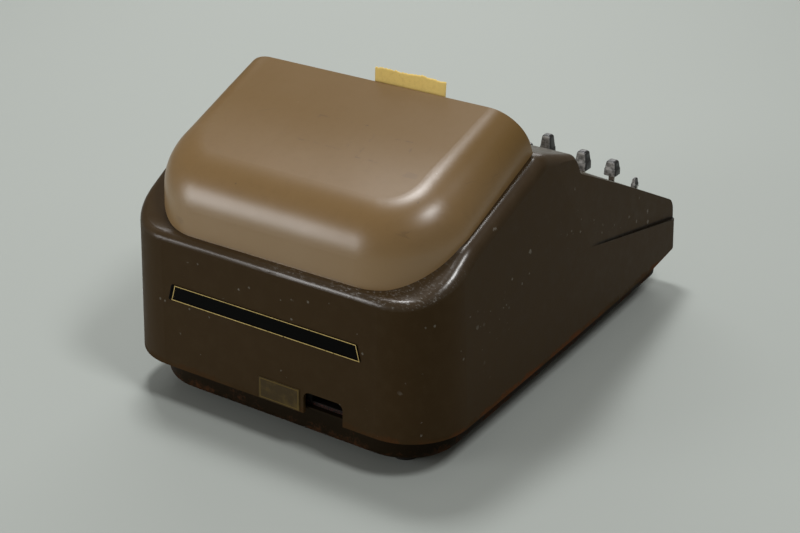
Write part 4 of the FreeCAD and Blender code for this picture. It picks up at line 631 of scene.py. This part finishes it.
def torn_tape():
    """The tape as one thin sheet, with its free end torn off against the blade."""
    low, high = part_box("paper_tape")
    path = tape_path()
    last_y, last_z = path[-1]
    shares = [i / TAPE_ACROSS for i in range(TAPE_ACROSS + 1)]
    places = [(share, low.x + (high.x - low.x) * share) for share in shares]
    made = bmesh.new()
    rows = [[made.verts.new((x, y, z)) for _, x in places] for y, z in path]
    for step in range(1, TAPE_RISE + 1):
        row = []
        for share, x in places:
            z = last_z + (high.z - tear_depth(share, x) - last_z) * step / TAPE_RISE
            curl = TEAR_CURL * (step / TAPE_RISE) ** 2 * (1 + 0.5 * math.sin(share * 5.0))
            row.append(made.verts.new((x, last_y + curl, z)))
        rows.append(row)
    for lower, upper in zip(rows, rows[1:]):
        for i in range(TAPE_ACROSS):
            made.faces.new((lower[i], lower[i + 1], upper[i + 1], upper[i]))
    mesh = smooth_mesh("torn_tape", made, 50)
    mesh.materials.append(FINISHES["paper"])
    sheet = piece("torn_tape", mesh, "base", "paper", "paper_tape").modifiers.new("thickness", "SOLIDIFY")
    sheet.thickness = TAPE_THICKNESS
    sheet.offset = 0.0


CAP_HEIGHTS = {"non_add_key": 18, "repeat_key": 14, "correction_key": 11.5, "repeat_latch": 7.5}
USUAL_CAP_HEIGHT = 9.5
SIDE_KEYS = tuple(CAP_HEIGHTS)
MARKS = {"key_%d" % digit: str(digit) for digit in range(10)}
MARKS.update({"add_bar": "+", "subtract_key": "-", "total_key": "*"})
PLAIN_KEYS = ("subtotal_key",) + SIDE_KEYS
STEM_X, STEM_Y = 2.25 * MM, 0.75 * MM
STEM_CORNERS = (-STEM_X, -STEM_Y), (STEM_X, -STEM_Y), (STEM_X, STEM_Y), (-STEM_X, STEM_Y)
MARK_DEPTH = 0.2 * MM


def rounded_ring(half_x, half_y, corner, steps=7):
    """Points of a rectangle with rounded corners, anticlockwise."""
    ring = []
    for quarter, (side_x, side_y) in enumerate(((1, 1), (-1, 1), (-1, -1), (1, -1))):
        for step in range(steps):
            angle = math.pi / 2 * (quarter + step / (steps - 1))
            x = side_x * (half_x - corner) + corner * math.cos(angle)
            y = side_y * (half_y - corner) + corner * math.sin(angle)
            ring.append((x, y))
    return ring


def dish_depth(least):
    return min(0.9 * MM, 0.14 * least)


def cap_levels(foot, top, least, domed):
    """Heights and insets of a key cap's rings, from inside its foot over the parting step to its top."""
    high = top - foot
    step = foot + 0.45 * high
    lean = (0.05 if domed else 0.07) * high
    base = 0.5 * lean + 0.3 * MM
    sides = [
        (foot + 0.3 * high, 1.1 * MM),
        (foot + 0.15 * MM, 0.9 * MM),
        (foot, 0.5 * MM),
        (foot + 0.25 * MM, 0.1 * MM),
        (step - 0.2 * MM, 0.45 * lean),
        (step, 0.45 * lean + 0.14 * MM),
        (step + 0.2 * MM, base),
    ]
    if domed:
        crown = []
        for turn in range(0, 91, 15):
            out, up = 1 - math.cos(math.radians(turn)), math.sin(math.radians(turn))
            crown.append((top - 0.45 * least * (1 - up), base + lean + 0.5 * least * out))
        return sides + crown
    dish = dish_depth(least)
    crown = [
        (foot + 0.8 * high, base + 0.06 * least),
        (top - 0.10 * least, base + 0.12 * least),
        (top - 0.03 * least, base + 0.19 * least),
        (top, base + 0.30 * least),
        (top - 0.25 * dish, base + 0.42 * least),
        (top - 0.7 * dish, base + 0.60 * least),
    ]
    return sides + crown


def join_rings(made, lower, upper):
    """Faces between two rings of as many points."""
    count = len(lower)
    pairs = [(i, (i + 1) % count) for i in range(count)]
    return [made.faces.new((lower[i], lower[j], upper[j], upper[i])) for i, j in pairs]


def moulded_key(name):
    """A key cap with a flared skirt, a parting step, a dished or domed top and a steel stem."""
    low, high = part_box(name)
    middle, half = (low + high) / 2, (high - low) / 2
    domed = name in SIDE_KEYS
    top = high.z
    foot = top - CAP_HEIGHTS.get(name, USUAL_CAP_HEIGHT) * MM
    shrink = 0.3 * MM if domed else 0.0
    half = half - Vector((shrink, shrink, 0))
    least = min(half.x, half.y)
    levels = cap_levels(foot, top, least, domed)
    made = bmesh.new()
    loops = []
    for z, inset in levels:
        corner = max(least / 2.4 - inset * 0.4, 0.12 * least)
        ring = rounded_ring(half.x - inset, half.y - inset, min(corner, least - inset))
        loops.append([made.verts.new((middle.x + x, middle.y + y, z)) for x, y in ring])
    for lower, upper in zip(loops, loops[1:]):
        join_rings(made, lower, upper)
    made.faces.new(loops[-1])
    made.faces.new(list(reversed(loops[0])))
    ends = []
    for z in (low.z, levels[0][0]):
        ends.append([made.verts.new((middle.x + x, middle.y + y, z)) for x, y in STEM_CORNERS])
    for face in [made.faces.new(list(reversed(ends[0])))] + join_rings(made, *ends):
        face.material_index = 1
    mesh = smooth_mesh(name + "_cap", made, 38)
    slot = "add_plastic" if name == "add_bar" else "key_plastic"
    mesh.materials.append(SHEENED_KEYS if domed else FINISHES[slot])
    mesh.materials.append(FINISHES["steel"])
    piece(name + "_cap", mesh, name, slot, name)
    if name in MARKS:
        mark_key(name, slot, Vector((middle.x, middle.y, top - 0.45 * dish_depth(least))), 1.3 * least)


def mark_key(name, slot, place, size):
    """A plain number or sign, filled in the top of a key."""
    curve = bpy.data.curves.new(name + "_mark", "FONT")
    curve.body = MARKS[name]
    curve.size = size
    curve.align_x = "CENTER"
    curve.align_y = "CENTER"
    curve.extrude = MARK_DEPTH
    words = bpy.data.objects.new(name + "_words", curve)
    bpy.context.scene.collection.objects.link(words)
    bpy.context.view_layer.update()
    mesh = bpy.data.meshes.new_from_object(words.evaluated_get(bpy.context.evaluated_depsgraph_get()))
    bpy.data.objects.remove(words)
    for vertex in mesh.vertices:
        vertex.co += place
    mesh.materials.clear()
    mesh.materials.append(INK)
    piece(name + "_mark", mesh, name, slot)


# ---------------------------------------------------------------- studio
FLOOR_RADIUS = 7.0
MACHINE = (0, 0.02, 0.1)
# name, place, aim, width, height, watts
LIGHTS = (
    ("top_light", (0.40, -0.30, 1.82), MACHINE, 0.36, 0.36, 15),
    ("low_light", (1.16, 1.57, 0.42), MACHINE, 0.9, 0.75, 13),
    ("side_light", (-1.03, 0.28, 1.8), MACHINE, 0.4, 0.4, 14),
    ("far_light", (0.90, -1.40, 0.98), (0.3, -0.5, 0), 1.6, 0.9, 11),
)
SKY_STRENGTH = 0.16
SENSOR_MM, LENS_MM = 36, 74.25
CAMERA_PLACE, CAMERA_LOOK = (-0.603, 0.9342, 0.6095), (0.4927, -0.7471, -0.4462)


def facing(look):
    """Turn of a lamp or camera that looks along a direction."""
    return Vector(look).to_track_quat("-Z", "Y").to_euler()


def floor_finish():
    f = Finish("studio_paper", Roughness=0.9, Specular_IOR_Level=0.1)
    f.feed("Base Color", f.mix(f.noise(f.place, 0.9, 2.0, 0.5), *FLOOR_GREYS))
    return f.made


def studio_floor():
    made = bmesh.new()
    bmesh.ops.create_circle(made, cap_ends=True, radius=FLOOR_RADIUS, segments=96)
    mesh = bpy.data.meshes.new("studio_floor")
    made.to_mesh(mesh)
    made.free()
    mesh.materials.append(floor_finish())
    floor = bpy.data.objects.new("studio_floor", mesh)
    bpy.context.scene.collection.objects.link(floor)


def soft_light(name, place, aim, width, height, watts):
    lamp = bpy.data.lights.new(name, "AREA")
    lamp.shape = "RECTANGLE"
    lamp.size = width
    lamp.size_y = height
    lamp.energy = watts
    holder = bpy.data.objects.new(name, lamp)
    holder.location = place
    holder.rotation_euler = facing(Vector(aim) - Vector(place))
    bpy.context.scene.collection.objects.link(holder)


def studio_sky():
    world = bpy.data.worlds.new("studio")
    bpy.context.scene.world = world
    world.use_nodes = True
    sky = world.node_tree.nodes["Background"]
    sky.inputs["Color"].default_value = SKY
    sky.inputs["Strength"].default_value = SKY_STRENGTH


def photo_camera():
    lens = bpy.data.cameras.new("photo_camera")
    lens.sensor_width = SENSOR_MM
    lens.lens = LENS_MM
    camera = bpy.data.objects.new("photo_camera", lens)
    camera.location = CAMERA_PLACE
    camera.rotation_euler = facing(CAMERA_LOOK)
    bpy.context.scene.collection.objects.link(camera)
    bpy.context.scene.camera = camera


dress_nodes()
torn_tape()
for label in tuple(MARKS) + PLAIN_KEYS:
    moulded_key(label)
studio_floor()
for light in LIGHTS:
    soft_light(*light)
studio_sky()
photo_camera()
bpy.context.scene.view_settings.view_transform = "Standard"
